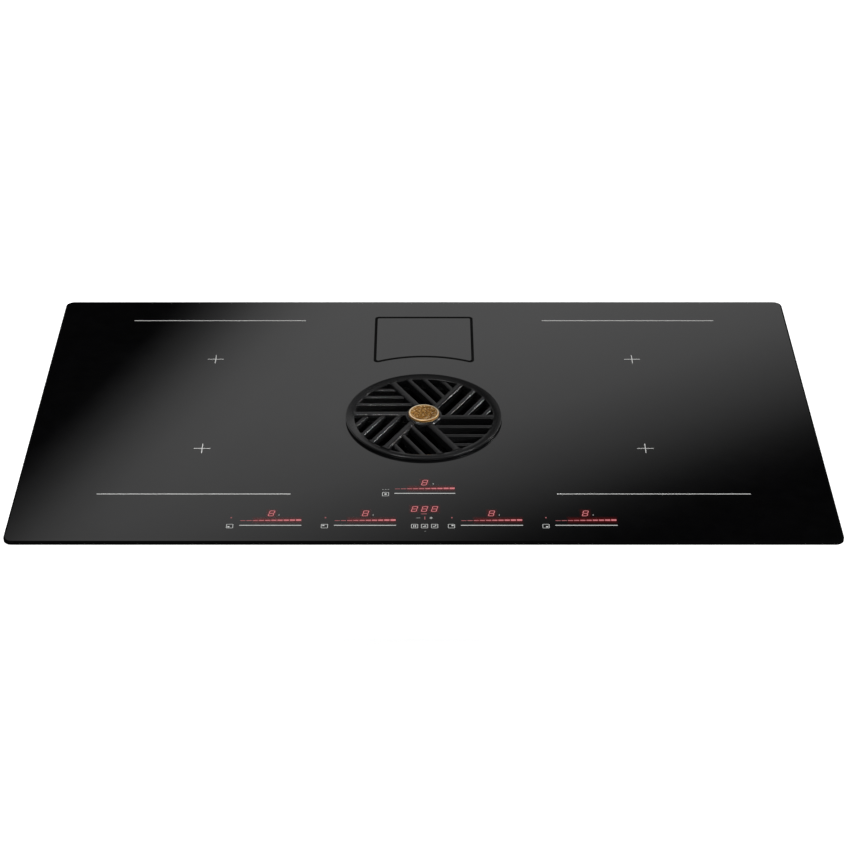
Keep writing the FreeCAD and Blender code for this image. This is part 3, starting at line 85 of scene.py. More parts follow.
def studio_white(name, glow, albedo):
    """White that glows towards the camera, so that only a real shadow shows on it."""
    material, nodes, links, shader = open_material(name)
    nodes.remove(shader)
    output = nodes["Material Output"]
    diffuse = nodes.new("ShaderNodeBsdfDiffuse")
    diffuse.inputs["Color"].default_value = (albedo, albedo, albedo, 1)
    emission = nodes.new("ShaderNodeEmission")
    emission.inputs["Strength"].default_value = glow
    both = nodes.new("ShaderNodeAddShader")
    links.new(diffuse.outputs[0], both.inputs[0])
    links.new(emission.outputs[0], both.inputs[1])
    path = nodes.new("ShaderNodeLightPath")
    seen = nodes.new("ShaderNodeMath")
    seen.operation = "MAXIMUM"
    links.new(path.outputs["Is Camera Ray"], seen.inputs[0])
    links.new(path.outputs["Is Transmission Ray"], seen.inputs[1])
    choice = nodes.new("ShaderNodeMixShader")
    links.new(seen.outputs[0], choice.inputs[0])
    links.new(diffuse.outputs[0], choice.inputs[1])
    links.new(both.outputs[0], choice.inputs[2])
    links.new(choice.outputs[0], output.inputs["Surface"])
    return material


def add_object(name, mesh, material):
    """A mesh object with one material in the scene."""
    item = bpy.data.objects.new(name, mesh)
    mesh.materials.append(material)
    bpy.context.scene.collection.objects.link(item)
    return item


def join_loops(mesh, first, second, flipped=False):
    """Quads between two closed loops of as many points, wound one way or the other."""
    for here in range(len(first)):
        after = (here + 1) % len(first)
        if flipped:
            mesh.faces.new((first[here], second[here], second[after], first[after]))
        else:
            mesh.faces.new((first[here], first[after], second[after], second[here]))


square = ((-1, -1), (1, -1), (1, 1), (-1, 1))
worktop_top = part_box("worktop_seal")[0].z
worktop_thickness = 12 * mm
cutout = Vector((435 * mm, 245 * mm))
worktop_low = Vector((-0.52, -0.40))
worktop_high = Vector((0.52, 0.29))
worktop = bmesh.new()
corners = []
for level in (worktop_top, worktop_top - worktop_thickness):
    for low, high in ((worktop_low, worktop_high), (-cutout, cutout)):
        outline = ((low.x, low.y), (high.x, low.y), (high.x, high.y), (low.x, high.y))
        corners.append([worktop.verts.new((x, y, level)) for x, y in outline])
top_outer, top_inner, foot_outer, foot_inner = corners
join_loops(worktop, top_outer, top_inner)
join_loops(worktop, top_inner, foot_inner)
join_loops(worktop, foot_inner, foot_outer)
join_loops(worktop, foot_outer, top_outer)
worktop_mesh = bpy.data.meshes.new("worktop")
worktop.to_mesh(worktop_mesh)
worktop.free()
worktop_item = add_object("worktop", worktop_mesh, studio_white("worktop_white", glow=0.9, albedo=0.6))

floor_level = cad_box[0].z - 4 * mm
floor_reach = 14
floor_mesh = bpy.data.meshes.new("floor")
floor_points = [(x * floor_reach, y * floor_reach, floor_level) for x, y in square]
floor_mesh.from_pydata(floor_points, [], [(0, 1, 2, 3)])
floor_item = add_object("floor", floor_mesh, studio_white("floor_white", glow=0.92, albedo=0.6))

# The sky: plain white to the camera and to diffuse light.  What the glass mirrors is a broad light
# panel behind the cooktop, square to the camera's mirrored axis, with slanting soft edges.
world = bpy.data.worlds.new("studio")
bpy.context.scene.world = world
world.use_nodes = True
sky = world.node_tree.nodes
sky_links = world.node_tree.links
sky.clear()
direction = sky.new("ShaderNodeTexCoord")


def sky_dot(axis):
    """How far the sky's direction runs along an axis."""
    dot = sky.new("ShaderNodeVectorMath")
    dot.operation = "DOT_PRODUCT"
    dot.inputs[1].default_value = axis
    sky_links.new(direction.outputs["Generated"], dot.inputs[0])
    return dot.outputs["Value"]


def sky_math(operation, first, second):
    """One step of arithmetic in the sky's nodes."""
    step = sky.new("ShaderNodeMath")
    step.operation = operation
    for socket, value in zip(step.inputs, (first, second)):
        if isinstance(value, bpy.types.NodeSocket):
            sky_links.new(value, socket)
        else:
            socket.default_value = value
    return step.outputs[0]


def sky_ramp(value, low, high, stops):
    """Brightness along a soft edge, from stops of place and brightness."""
    spread = sky.new("ShaderNodeMapRange")
    spread.inputs["From Min"].default_value = low
    spread.inputs["From Max"].default_value = high
    sky_links.new(value, spread.inputs["Value"])
    ramp = sky.new("ShaderNodeValToRGB")
    while len(ramp.color_ramp.elements) < len(stops):
        ramp.color_ramp.elements.new(0.5)
    for element, (place, bright) in zip(ramp.color_ramp.elements, stops):
        element.position = (place - low) / (high - low)
        element.color = (bright, bright, bright, 1)
    sky_links.new(spread.outputs["Result"], ramp.inputs["Fac"])
    return ramp.outputs["Color"]


lean = math.sin(camera_pitch)
reach = math.cos(camera_pitch)
least_distance = 0.05
left_slant, right_slant = 1, 0.357
panel_distance = sky_math("MAXIMUM", sky_dot((0, reach, lean)), least_distance)
panel_left_slope = sky_math("DIVIDE", sky_dot((left_slant, -lean, reach)), panel_distance)
panel_right_slope = sky_math("DIVIDE", sky_dot((right_slant, -lean, reach)), panel_distance)
left_edge = sky_ramp(panel_left_slope, -0.7, 0.1, [
    (-0.7, 0.62), (-0.45, 0.3), (-0.3, 0.0), (-0.166, 0.0), (-0.158, 0.06), (-0.1436, 0.26),
    (-0.126, 0.62), (-0.108, 0.88), (-0.0896, 0.97), (0.0, 1.0)])
right_edge = sky_ramp(panel_right_slope, -0.1, 0.6, [
    (-0.1, 1.0), (-0.03, 0.97), (-0.007, 0.9), (0.011, 0.81), (0.0383, 0.47), (0.0564, 0.2), (0.0627, 0.11),
    (0.0691, 0.055), (0.0782, 0.015), (0.0845, 0.0), (0.17, 0.0), (0.5, 0.6)])
panel = sky.new("ShaderNodeMixRGB")
panel.blend_type = "MULTIPLY"
panel.inputs["Fac"].default_value = 1
sky_links.new(left_edge, panel.inputs["Color1"])
sky_links.new(right_edge, panel.inputs["Color2"])
panel_level = 0.85
horizon_glow = sky_ramp(sky_dot((0, 0, 1)), 0.0, 1.0, [
    (0.0, 1.0), (0.04, 0.8), (0.1, 0.0), (0.8, 0.0), (1.0, 0.0)])
mirrored = sky.new("ShaderNodeMixRGB")
mirrored.blend_type = "MIX"
mirrored.inputs["Color2"].default_value = (1, 1, 1, 1)
sky_links.new(horizon_glow, mirrored.inputs["Fac"])
dimmed = sky.new("ShaderNodeMixRGB")
dimmed.blend_type = "MULTIPLY"
dimmed.inputs["Fac"].default_value = 1
dimmed.inputs["Color2"].default_value = (panel_level, panel_level, panel_level, 1)
sky_links.new(panel.outputs[0], dimmed.inputs["Color1"])
sky_links.new(dimmed.outputs[0], mirrored.inputs["Color1"])

ray = sky.new("ShaderNodeLightPath")
plain_sky = sky.new("ShaderNodeBackground")
plain_sky.inputs["Strength"].default_value = 0.62
camera_sky = sky.new("ShaderNodeBackground")
camera_sky.inputs["Color"].default_value = (1, 1, 1, 1)
mirror_sky = sky.new("ShaderNodeBackground")
sky_links.new(mirrored.outputs[0], mirror_sky.inputs["Color"])
glossy_choice = sky.new("ShaderNodeMixShader")
sky_links.new(ray.outputs["Is Glossy Ray"], glossy_choice.inputs[0])
sky_links.new(plain_sky.outputs[0], glossy_choice.inputs[1])
sky_links.new(mirror_sky.outputs[0], glossy_choice.inputs[2])
camera_choice = sky.new("ShaderNodeMixShader")
direct = sky_math("MAXIMUM", ray.outputs["Is Camera Ray"], ray.outputs["Is Transmission Ray"])
sky_links.new(direct, camera_choice.inputs[0])
sky_links.new(glossy_choice.outputs[0], camera_choice.inputs[1])
sky_links.new(camera_sky.outputs[0], camera_choice.inputs[2])
sky_output = sky.new("ShaderNodeOutputWorld")
sky_links.new(camera_choice.outputs[0], sky_output.inputs["Surface"])


def add_lamp(name, place, aim, width, power):
    """A square soft lamp that points at a place."""
    data = bpy.data.lights.new(name, "AREA")
    data.shape = "SQUARE"
    data.size = width
    data.energy = power
    lamp = bpy.data.objects.new(name, data)
    lamp.location = place
    lamp.rotation_euler = (Vector(aim) - Vector(place)).to_track_quat("-Z", "Y").to_euler()
    bpy.context.scene.collection.objects.link(lamp)
    return lamp


def add_spot(name, place, aim, cone, width, power):
    """A narrow lamp that lights one place."""
    data = bpy.data.lights.new(name, "SPOT")
    data.spot_size = math.radians(cone)
    data.spot_blend = 0.4
    data.shadow_soft_size = width
    data.energy = power
    spot = bpy.data.objects.new(name, data)
    spot.location = place
    spot.rotation_euler = (Vector(aim) - Vector(place)).to_track_quat("-Z", "Y").to_euler()
    bpy.context.scene.collection.objects.link(spot)
    return spot


# The fill lamp stays out of the glass.  The three narrow lamps pick out the grille's edges.
add_lamp("key_lamp", place=(-1.3, -1.6, 2.2), aim=(0, 0, 0), width=0.9, power=26)
fill_lamp = add_lamp("fill_lamp", place=(2.0, -1.2, 1.0), aim=(0, 0, -0.1), width=0.9, power=10)
fill_lamp.visible_glossy = False
add_lamp("top_lamp", place=(-0.3, -0.6, 2.0), aim=(0, 0, 0), width=0.8, power=10)
add_spot("grille_rim_lamp", place=(2.1, 0.9, 1.05), aim=(-0.02, -0.012, 0),
         cone=4.6, width=0.12, power=330)
add_spot("grille_glint_lamp", place=(-0.072, 0.13, 0.42), aim=(-0.06, -0.01, 0),
         cone=16, width=0.012, power=5)
add_spot("grille_side_lamp", place=(1.5, -0.95, 0.55), aim=(-0.045, -0.05, 0),
         cone=2.1, width=0.05, power=700)

# ---------------------------------------------------------------------------------------------
# Glass plate: black glass ceramic, 4 mm thick, with a bevelled edge.  Its bevel and sides carry painted
# shade, a darker, duller copy of the glass with almost no reflection.  Wiping leaves a faint haze in its
# gloss.  The weighing plate is cut from the same sheet.
# ---------------------------------------------------------------------------------------------


def open_group(name, inputs, outputs):
    """A shader node group with float inputs and named outputs, and its two end nodes."""
    group = bpy.data.node_groups.new(name, "ShaderNodeTree")
    for socket, value in inputs.items():
        made = group.interface.new_socket(socket, in_out="INPUT", socket_type="NodeSocketFloat")
        made.default_value = value
    for socket, kind in outputs.items():
        group.interface.new_socket(socket, in_out="OUTPUT", socket_type=kind)
    return group, group.nodes.new("NodeGroupInput"), group.nodes.new("NodeGroupOutput")


def group_range(group, value, low, high, source=(0.3, 0.7)):
    """The value spread between two levels, which may be numbers or sockets."""
    spread = group.nodes.new("ShaderNodeMapRange")
    spread.inputs["From Min"].default_value, spread.inputs["From Max"].default_value = source
    for socket, level in (("To Min", low), ("To Max", high)):
        if isinstance(level, bpy.types.NodeSocket):
            group.links.new(level, spread.inputs[socket])
        else:
            spread.inputs[socket].default_value = level
    group.links.new(value, spread.inputs["Value"])
    return spread.outputs["Result"]


def group_noise(group, scale, detail, stretch=(1, 1, 1)):
    """Noise over the piece's own place, at a scale that may be a socket."""
    place = group.nodes.new("ShaderNodeTexCoord")
    mapping = group.nodes.new("ShaderNodeMapping")
    mapping.inputs["Scale"].default_value = stretch
    group.links.new(place.outputs["Object"], mapping.inputs["Vector"])
    texture = group.nodes.new("ShaderNodeTexNoise")
    texture.inputs["Detail"].default_value = detail
    group.links.new(mapping.outputs["Vector"], texture.inputs["Vector"])
    if isinstance(scale, bpy.types.NodeSocket):
        group.links.new(scale, texture.inputs["Scale"])
    else:
        texture.inputs["Scale"].default_value = scale
    return texture.outputs["Fac"]


def group_shade(group, value, contrast):
    """The value as a shade, from white down to white less the contrast."""
    darkest = group.nodes.new("ShaderNodeMath")
    darkest.operation = "SUBTRACT"
    darkest.inputs[0].default_value = 1
    group.links.new(contrast, darkest.inputs[1])
    return group_range(group, value, darkest.outputs[0], 1.0)


grain, grain_in, grain_out = open_group(
    "surface_grain",
    {"Scale": 200, "Smooth": 0.3, "Rough": 0.5, "Contrast": 0.1},
    {"Roughness": "NodeSocketFloat", "Shade": "NodeSocketFloat", "Height": "NodeSocketFloat"})
broad = group_noise(grain, scale=14, detail=4)
fine = group_noise(grain, grain_in.outputs["Scale"], detail=5)
grain.links.new(group_range(grain, broad, grain_in.outputs["Smooth"], grain_in.outputs["Rough"]),
                grain_out.inputs["Roughness"])
grain.links.new(group_shade(grain, fine, grain_in.outputs["Contrast"]), grain_out.inputs["Shade"])
grain.links.new(fine, grain_out.inputs["Height"])


def use_group(nodes, group, **values):
    """A group placed in a material with its own values."""
    node = nodes.new("ShaderNodeGroup")
    node.node_tree = group
    for name, value in values.items():
        node.inputs[name].default_value = value
    return node


def tint(nodes, links, colour, factor, shader):
    """Feeds the shader a colour that a mask darkens."""
    mix = nodes.new("ShaderNodeMixRGB")
    mix.blend_type = "MULTIPLY"
    mix.inputs["Fac"].default_value = 1
    mix.inputs["Color1"].default_value = (*colour, 1)
    links.new(factor, mix.inputs["Color2"])
    links.new(mix.outputs[0], shader.inputs["Base Color"])


def add_bump(nodes, links, height, distance, shader, strength=1.0):
    """Relief from a height mask."""
    bump = nodes.new("ShaderNodeBump")
    bump.inputs["Distance"].default_value = distance
    bump.inputs["Strength"].default_value = strength
    links.new(height, bump.inputs["Height"])
    links.new(bump.outputs["Normal"], shader.inputs["Normal"])


def grained(name, colour, smooth, rough, scale=400, contrast=0.12, relief=0.02 * mm, metallic=0.0):
    """A plain material with grain in its gloss, its shade and its relief."""
    material, nodes, links, shader = open_material(name)
    texture = use_group(nodes, grain, Scale=scale, Smooth=smooth, Rough=rough, Contrast=contrast)
    tint(nodes, links, colour, texture.outputs["Shade"], shader)
    links.new(texture.outputs["Roughness"], shader.inputs["Roughness"])
    shader.inputs["Metallic"].default_value = metallic
    add_bump(nodes, links, texture.outputs["Height"], relief, shader)
    return material


def dress(material, *names):
    """Gives CAD nodes their finish."""
    for name in names:
        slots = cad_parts[name].data.materials
        slots.clear()
        slots.append(material)


glass, nodes, links, shader = open_material("black_glass_ceramic")
haze = use_group(nodes, grain, Scale=60, Smooth=0.02, Rough=0.045, Contrast=0.3)
tint(nodes, links, (0.0022, 0.0022, 0.0024), haze.outputs["Shade"], shader)
links.new(haze.outputs["Roughness"], shader.inputs["Roughness"])
shader.inputs["IOR"].default_value = 1.5
dress(glass, "scale_plate")
# Painted shade: the plate's bevel and sides take a darker, duller copy of the glass with almost no
# reflection.
painted_shade_edge = grained("glass_edge_painted_shade", (0.0008, 0.0008, 0.0008), 0.6, 0.8, scale=900, relief=0.01 * mm)
painted_shade_edge.node_tree.nodes["Principled BSDF"].inputs["Specular IOR Level"].default_value = 0.03

# ---------------------------------------------------------------------------------------------
# Printed zone marks: light grey ceramic enamel fired onto the plate.  Each cooking zone has a cross
# at its middle, and each pair of zones a line in front and behind.
# ---------------------------------------------------------------------------------------------

glass_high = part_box("glass_top")[1]
glass_level = glass_high.z
print_height = 0.03 * mm


def add_prism(mesh, outline, foot, top, drive=1.0):
    """A closed flat-topped solid over an outline of x, y points, lit by its share of the full drive."""
    lower = [mesh.verts.new((x, y, foot)) for x, y in outline]
    upper = [mesh.verts.new((x, y, top)) for x, y in outline]
    layer = mesh.verts.layers.float.get("drive")
    if layer is not None:
        for vertex in lower + upper:
            vertex[layer] = drive
    mesh.faces.new(list(reversed(lower)))
    mesh.faces.new(upper)
    join_loops(mesh, lower, upper)


def add_bar(mesh, x, y, width, depth, drive=1.0):
    """A flat bar printed about x, y."""
    outline = [(x + along * width / 2, y + across * depth / 2) for along, across in square]
    add_prism(mesh, outline, glass_level, glass_level + print_height, drive)


def finish_piece(name, mesh, material, body, smooth=None):
    """The mesh as a piece of the cooktop that rides on a body."""
    bmesh.ops.recalc_face_normals(mesh, faces=mesh.faces)
    data = bpy.data.meshes.new(name)
    mesh.to_mesh(data)
    mesh.free()
    piece = add_object(name, data, material)
    if smooth is not None:
        data.shade_smooth()
        data.set_sharp_from_angle(angle=math.radians(smooth))
    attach(piece, body)
    return piece


plate = bmesh.new()
plate_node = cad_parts["glass_top"]
bevel = 1.2 * mm
corner_inset = 10 * mm
edge_distance = 9 * mm
top_slack = 0.01 * mm
level_normal = 0.98
straight = Vector((glass_high.x - corner_inset, glass_high.y - corner_inset))
plate.from_mesh(plate_node.data)
bmesh.ops.transform(plate, matrix=plate_node.matrix_world, verts=plate.verts)
bmesh.ops.remove_doubles(plate, verts=plate.verts, dist=0.001 * mm)
for vertex in plate.verts:
    nearest = Vector([max(-limit, min(limit, value)) for limit, value in zip(straight, vertex.co)])
    outward = vertex.co.xy - nearest
    if vertex.co.z > glass_level - top_slack and outward.length > edge_distance:
        vertex.co.xy -= outward.normalized() * bevel
# Faces that are not level, the bevel and the sides, take the second material, the edge's painted shade.
for face in plate.faces:
    face.normal_update()
    face.material_index = int(abs(face.normal.z) < level_normal)
glass_plate = finish_piece("glass_plate", plate, glass, "chassis")
glass_plate.data.materials.append(painted_shade_edge)
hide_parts("glass_top")

enamel_print = grained("grey_enamel_print", (0.6, 0.6, 0.59), 0.35, 0.55, scale=900, contrast=0.1)
zone_middle = 253.3 * mm
zone_line = Vector((213.3 * mm, 1.35 * mm))
zone_line_places = (209.9 * mm, -168.1 * mm)
cross_middle = 251.5 * mm
cross_places = (117.6 * mm, -77.4 * mm)
cross_reach = 19 * mm
cross_line = 1.0 * mm
marks = bmesh.new()
for side in (-1, 1):
    for y in zone_line_places:
        add_bar(marks, side * zone_middle, y, zone_line.x, zone_line.y)
    for y in cross_places:
        cross_x = side * cross_middle
        add_bar(marks, cross_x, y, cross_reach, cross_line)
        for end in (-1, 1):
            arm = (cross_reach - cross_line) / 2
            add_bar(marks, cross_x, y + end * (cross_line + arm) / 2, cross_line, arm)
finish_piece("zone_marks", marks, enamel_print, "chassis")

# ---------------------------------------------------------------------------------------------
# Touch controls: they lie under the glass and shine through it.  Each zone has a white slider line, a
# red scale of ten growing segments, a seven-segment figure and a button with the zone marked on it.
# ---------------------------------------------------------------------------------------------


def lit(name, colour):
    """Light from diodes spread by the guide under the glass, as strong as each part is driven."""
    material, nodes, links, shader = open_material(name)
    spread = use_group(nodes, grain, Scale=260, Smooth=0.3, Rough=0.4, Contrast=0.25)
    unlit_share = 0.2
    shader.inputs["Base Color"].default_value = (*(part * unlit_share for part in colour), 1)
    drive = nodes.new("ShaderNodeAttribute")
    drive.attribute_name = "drive"
    level = nodes.new("ShaderNodeMath")
    level.operation = "MULTIPLY"
    links.new(drive.outputs["Fac"], level.inputs[0])
    links.new(spread.outputs["Shade"], level.inputs[1])
    mix = nodes.new("ShaderNodeMixRGB")
    mix.blend_type = "MULTIPLY"
    mix.inputs["Fac"].default_value = 1
    mix.inputs["Color1"].default_value = (*colour, 1)
    links.new(level.outputs[0], mix.inputs["Color2"])
    links.new(mix.outputs[0], shader.inputs["Emission Color"])
    links.new(spread.outputs["Roughness"], shader.inputs["Roughness"])
    shader.inputs["Emission Strength"].default_value = 1
    return material


def open_lights():
    """A mesh whose points say how hard their diode is driven."""
    mesh = bmesh.new()
    mesh.verts.layers.float.new("drive")
    return mesh


red_parts = open_lights()
white_parts = open_lights()
glow_parts = open_lights()
dim = 0.35

slider_length = 67 * mm
slider_line = 1.25 * mm
segment_count = 10
segment_gap = 1.1 * mm
segment_low, segment_high = 0.9 * mm, 3.0 * mm
scale_rise = 8.2 * mm
figure_slant = 0.2
figure_width, figure_height, figure_line = 6.2 * mm, 10.4 * mm, 0.95 * mm
button_side = 7.4 * mm
button_line = 0.6 * mm
glow_height = 0.008 * mm


def add_painted_glow(x, y, width, depth, spread, drive):
    """A film of painted glow for stray red light about a lit part, which fades out over its spread."""
    layer = glow_parts.verts.layers.float["drive"]
    rings = []
    for grow, strength in ((0, drive), (0.45 * spread, 0.42 * drive), (spread, 0)):
        reach_x, reach_y = width / 2 + grow, depth / 2 + grow
        ring = []
        for along, across in square:
            place = (x + along * reach_x, y + across * reach_y, glass_level + glow_height)
            vertex = glow_parts.verts.new(place)
            vertex[layer] = strength
            ring.append(vertex)
        rings.append(ring)
    glow_parts.faces.new(rings[0])
    for inner, outer in zip(rings, rings[1:]):
        join_loops(glow_parts, inner, outer)


def add_slider(x, y):
    """A white line and the red scale behind it, whose segments grow to the right."""
    add_bar(white_parts, x, y, slider_length, slider_line)
    pitch = slider_length / segment_count
    foot = y + scale_rise
    for number in range(segment_count):
        grow = number / (segment_count - 1)
        height = segment_low + (segment_high - segment_low) * grow
        segment_x = x - slider_length / 2 + (number + 0.5) * pitch
        add_bar(red_parts, segment_x, foot + height / 2, pitch - segment_gap, height, 0.5 + 0.5 * grow)
    add_painted_glow(x + 0.1 * slider_length, foot + 1.5 * mm,
             width=0.66 * slider_length, depth=2 * mm, spread=6 * mm, drive=1)


def add_figure(mesh, x, y):
    """A slanting figure eight of seven lit strokes about x, y."""
    half = figure_height / 2
    level_stroke = figure_width - 1.6 * figure_line
    corner = figure_line * 0.65
    for level in (-1, 0, 1):
        middle = x + level * half * figure_slant
        add_bar(mesh, middle, y + level * (half - figure_line / 2), level_stroke, figure_line)
    for side in (-1, 1):
        for level in (-1, 1):
            low = min(0, level) * half + corner
            high = max(0, level) * half - corner
            left = x + side * (figure_width - figure_line) / 2 - figure_line / 2
            outline = [(left + lift * figure_slant + across, y + lift)
                       for lift, across in ((low, 0), (low, figure_line), (high, figure_line), (high, 0))]
            add_prism(mesh, outline, glass_level, glass_level + print_height)
    add_painted_glow(x, y, width=0.6 * figure_width, depth=0.7 * figure_height, spread=5 * mm, drive=0.9)


def add_button(mesh, x, y, inner):
    """A square button outline with small marks inside, given as x, y, width and depth shares."""
    reach = (button_side - button_line) / 2
    for side in (-1, 1):
        add_bar(mesh, x, y + side * reach, button_side - 2 * button_line, button_line)
        add_bar(mesh, x + side * reach, y, button_line, button_side - button_line)
    for mark in inner:
        mark_x, mark_y, width, depth = (share * button_side for share in mark)
        add_bar(mesh, x + mark_x, y + mark_y, width, depth)


slider_row = -227.3 * mm
button_row = -228.8 * mm
button_offset = 10.2 * mm
quarter = 0.16
dot_width, dot_depth = 0.9 * mm, 2.6 * mm
zone_sliders = (
    (-165.4 * mm, (-quarter, -quarter)),
    (-63.3 * mm, (-quarter, quarter)),
    (73.6 * mm, (quarter, quarter)),
    (175.5 * mm, (quarter, -quarter)),
)
for x, quadrant in zone_sliders:
    add_slider(x, slider_row)
    add_figure(red_parts, x + 0.1 * mm, slider_row + 22.3 * mm)
    add_bar(white_parts, x + 8.4 * mm, slider_row + 19.3 * mm, dot_width, dot_depth, dim)
    button_x = x - slider_length / 2 - button_offset
    add_button(white_parts, button_x, button_row, [(*quadrant, 0.3, 0.3)])
    add_bar(red_parts, button_x + 0.6 * mm, slider_row + 14.2 * mm, 1.6 * mm, 2.2 * mm, dim)

hood_slider = Vector((1.2 * mm, -166.85 * mm))
add_slider(*hood_slider)
add_figure(red_parts, 1.0 * mm, hood_slider.y + 20.8 * mm)
add_bar(white_parts, 10.5 * mm, hood_slider.y + 18.3 * mm, dot_width, dot_depth, dim)
hood_button = Vector((-42 * mm, hood_slider.y - 1.5 * mm))
add_button(white_parts, *hood_button, [(0, 0, 0.34, 0.34)])
for step in (-1, 0, 1):
    add_bar(white_parts, hood_button.x + step * 3 * mm, hood_button.y + 9 * mm, 1.7 * mm, 0.9 * mm, dim)

clock_row = -196.7 * mm
sign_row = -213.6 * mm
for x in (-10 * mm, 0.9 * mm, 11.8 * mm):
    add_figure(red_parts, x, clock_row)
add_bar(red_parts, 0.3 * mm, clock_row - 9.3 * mm, 6 * mm, 0.8 * mm, 0.7)
add_bar(white_parts, -6 * mm, sign_row, 4.4 * mm, 0.9 * mm, dim)
add_bar(white_parts, 8 * mm, sign_row, 3.4 * mm, 0.8 * mm)
for end in (-1, 1):
    add_bar(white_parts, 8 * mm, sign_row + end * 1.15 * mm, 0.8 * mm, 1.5 * mm)
add_bar(red_parts, 1.2 * mm, -213.8 * mm, 1.0 * mm, 5.4 * mm, 0.5)
add_button(white_parts, -9.8 * mm, button_row, [(-0.12, 0, 0.12, 0.55), (0.14, 0, 0.12, 0.55)])
add_button(white_parts, 0.9 * mm, button_row, [(0, -0.1, 0.5, 0.14), (0.1, 0.14, 0.2, 0.14)])
add_button(white_parts, 11.8 * mm, button_row, [(-0.1, -0.08, 0.3, 0.16), (0.14, 0.12, 0.16, 0.3)])
add_bar(white_parts, 1.6 * mm, -238.2 * mm, 1.2 * mm, 0.8 * mm, dim)
red_light = lit("red_diode_light", (0.58, 0.165, 0.185))
white_light = lit("white_diode_light", (0.52, 0.53, 0.52))
finish_piece("red_lights", red_parts, red_light, "chassis")
finish_piece("white_lights", white_parts, white_light, "chassis")

# Painted glow: a faint emitting film on the glass stands in for the diodes' stray red light.
stray, nodes, links, shader = open_material("stray_red_light")
fade = nodes.new("ShaderNodeAttribute")
fade.attribute_name = "drive"
veil = nodes.new("ShaderNodeMath")
veil.operation = "MULTIPLY"
veil.inputs[1].default_value = 0.22
links.new(fade.outputs["Fac"], veil.inputs[0])
links.new(veil.outputs[0], shader.inputs["Alpha"])
shader.inputs["Base Color"].default_value = (0.01, 0.001, 0.001, 1)
shader.inputs["Roughness"].default_value = 0.05
shader.inputs["Emission Color"].default_value = (0.3, 0.004, 0.006, 1)
shader.inputs["Emission Strength"].default_value = 1
finish_piece("red_painted_glow", glow_parts, stray, "chassis")

# ---------------------------------------------------------------------------------------------
# Weighing plate seal: black silicone in the glass plate's aperture, round the inset weighing plate.
# The same rubber makes the grille's pads, the duct's mounts and the motor's bushes.
# ---------------------------------------------------------------------------------------------

silicone = grained("black_silicone", (0.0012, 0.0012, 0.0012), 0.55, 0.75, scale=700)
silicone.node_tree.nodes["Principled BSDF"].inputs["Specular IOR Level"].default_value = 0.06
dress(silicone, "scale_seal", "duct_mounts", "motor_bushes", "grille_pads")

# ---------------------------------------------------------------------------------------------
# Vent grille: one casting under satin black enamel.  A ring with a sloping top holds six spokes, and
# in each of the six sectors three bars run parallel to one spoke and end on the next.
# ---------------------------------------------------------------------------------------------

grille_low, grille_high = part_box("vent_grille")
vent = Vector(((grille_low.x + grille_high.x) / 2, (grille_low.y + grille_high.y) / 2, 0))
grille_radius = (grille_high.x - grille_low.x) / 2
grille_foot = glass_level + 0.5 * mm
ring_top = glass_level + 4 * mm
ring_wall = 2.8 * mm
skirt_radius = 82.6 * mm
skirt_wall = 2 * mm
hub_radius = 21 * mm


def round_corner(points, number, radius, steps):
    """The outline's corner replaced by a short arc."""
    corner = Vector(points[number])
    before = (Vector(points[number - 1]) - corner).normalized()
    after = (Vector(points[(number + 1) % len(points)]) - corner).normalized()
    half = before.angle(after) / 2
    start, end = corner + before * radius / math.tan(half), corner + after * radius / math.tan(half)
    centre = corner + (before + after).normalized() * radius / math.sin(half)
    arc = []
    for step in range(steps + 1):
        share = start.lerp(end, step / steps) - centre
        arc.append(centre + share.normalized() * radius)
    return arc


def soften(points, radii, steps=3):
    """An outline with its corners rounded by the given radii, where a zero keeps the corner."""
    result = []
    for number, radius in enumerate(radii):
        if radius:
            result += round_corner(points, number, radius, steps)
        else:
            result.append(Vector(points[number]))
    return result


def add_turned(mesh, profile, centre, steps):
    """A closed profile of radius and height turned about an upright axis."""
    rings = []
    for step in range(steps):
        angle = 2 * math.pi * step / steps
        rings.append([mesh.verts.new((centre.x + radius * math.cos(angle),
                                      centre.y + radius * math.sin(angle), height))
                      for radius, height in profile])
    for step in range(steps):
        join_loops(mesh, rings[step], rings[(step + 1) % steps], flipped=True)


casting = bmesh.new()
ring_profile = soften(
    [(skirt_radius - skirt_wall, ring_top - 1.6 * mm), (grille_radius - 0.8 * mm, ring_top),
     (grille_radius, ring_top - 1.1 * mm), (grille_radius, grille_foot),
     (grille_radius - ring_wall, grille_foot), (grille_radius - ring_wall, ring_top - 3 * mm),
     (skirt_radius, ring_top - 3 * mm),
     (skirt_radius, grille_foot - 7 * mm), (skirt_radius - skirt_wall, grille_foot - 7 * mm)],
    [1.1 * mm, 0.5 * mm, 0.4 * mm, 0.3 * mm, 0, 0, 0, 0.4 * mm, 0.4 * mm])
add_turned(casting, ring_profile, vent, steps=192)

bar_foot = grille_foot - 6.6 * mm
trim_radius = skirt_radius - skirt_wall / 2


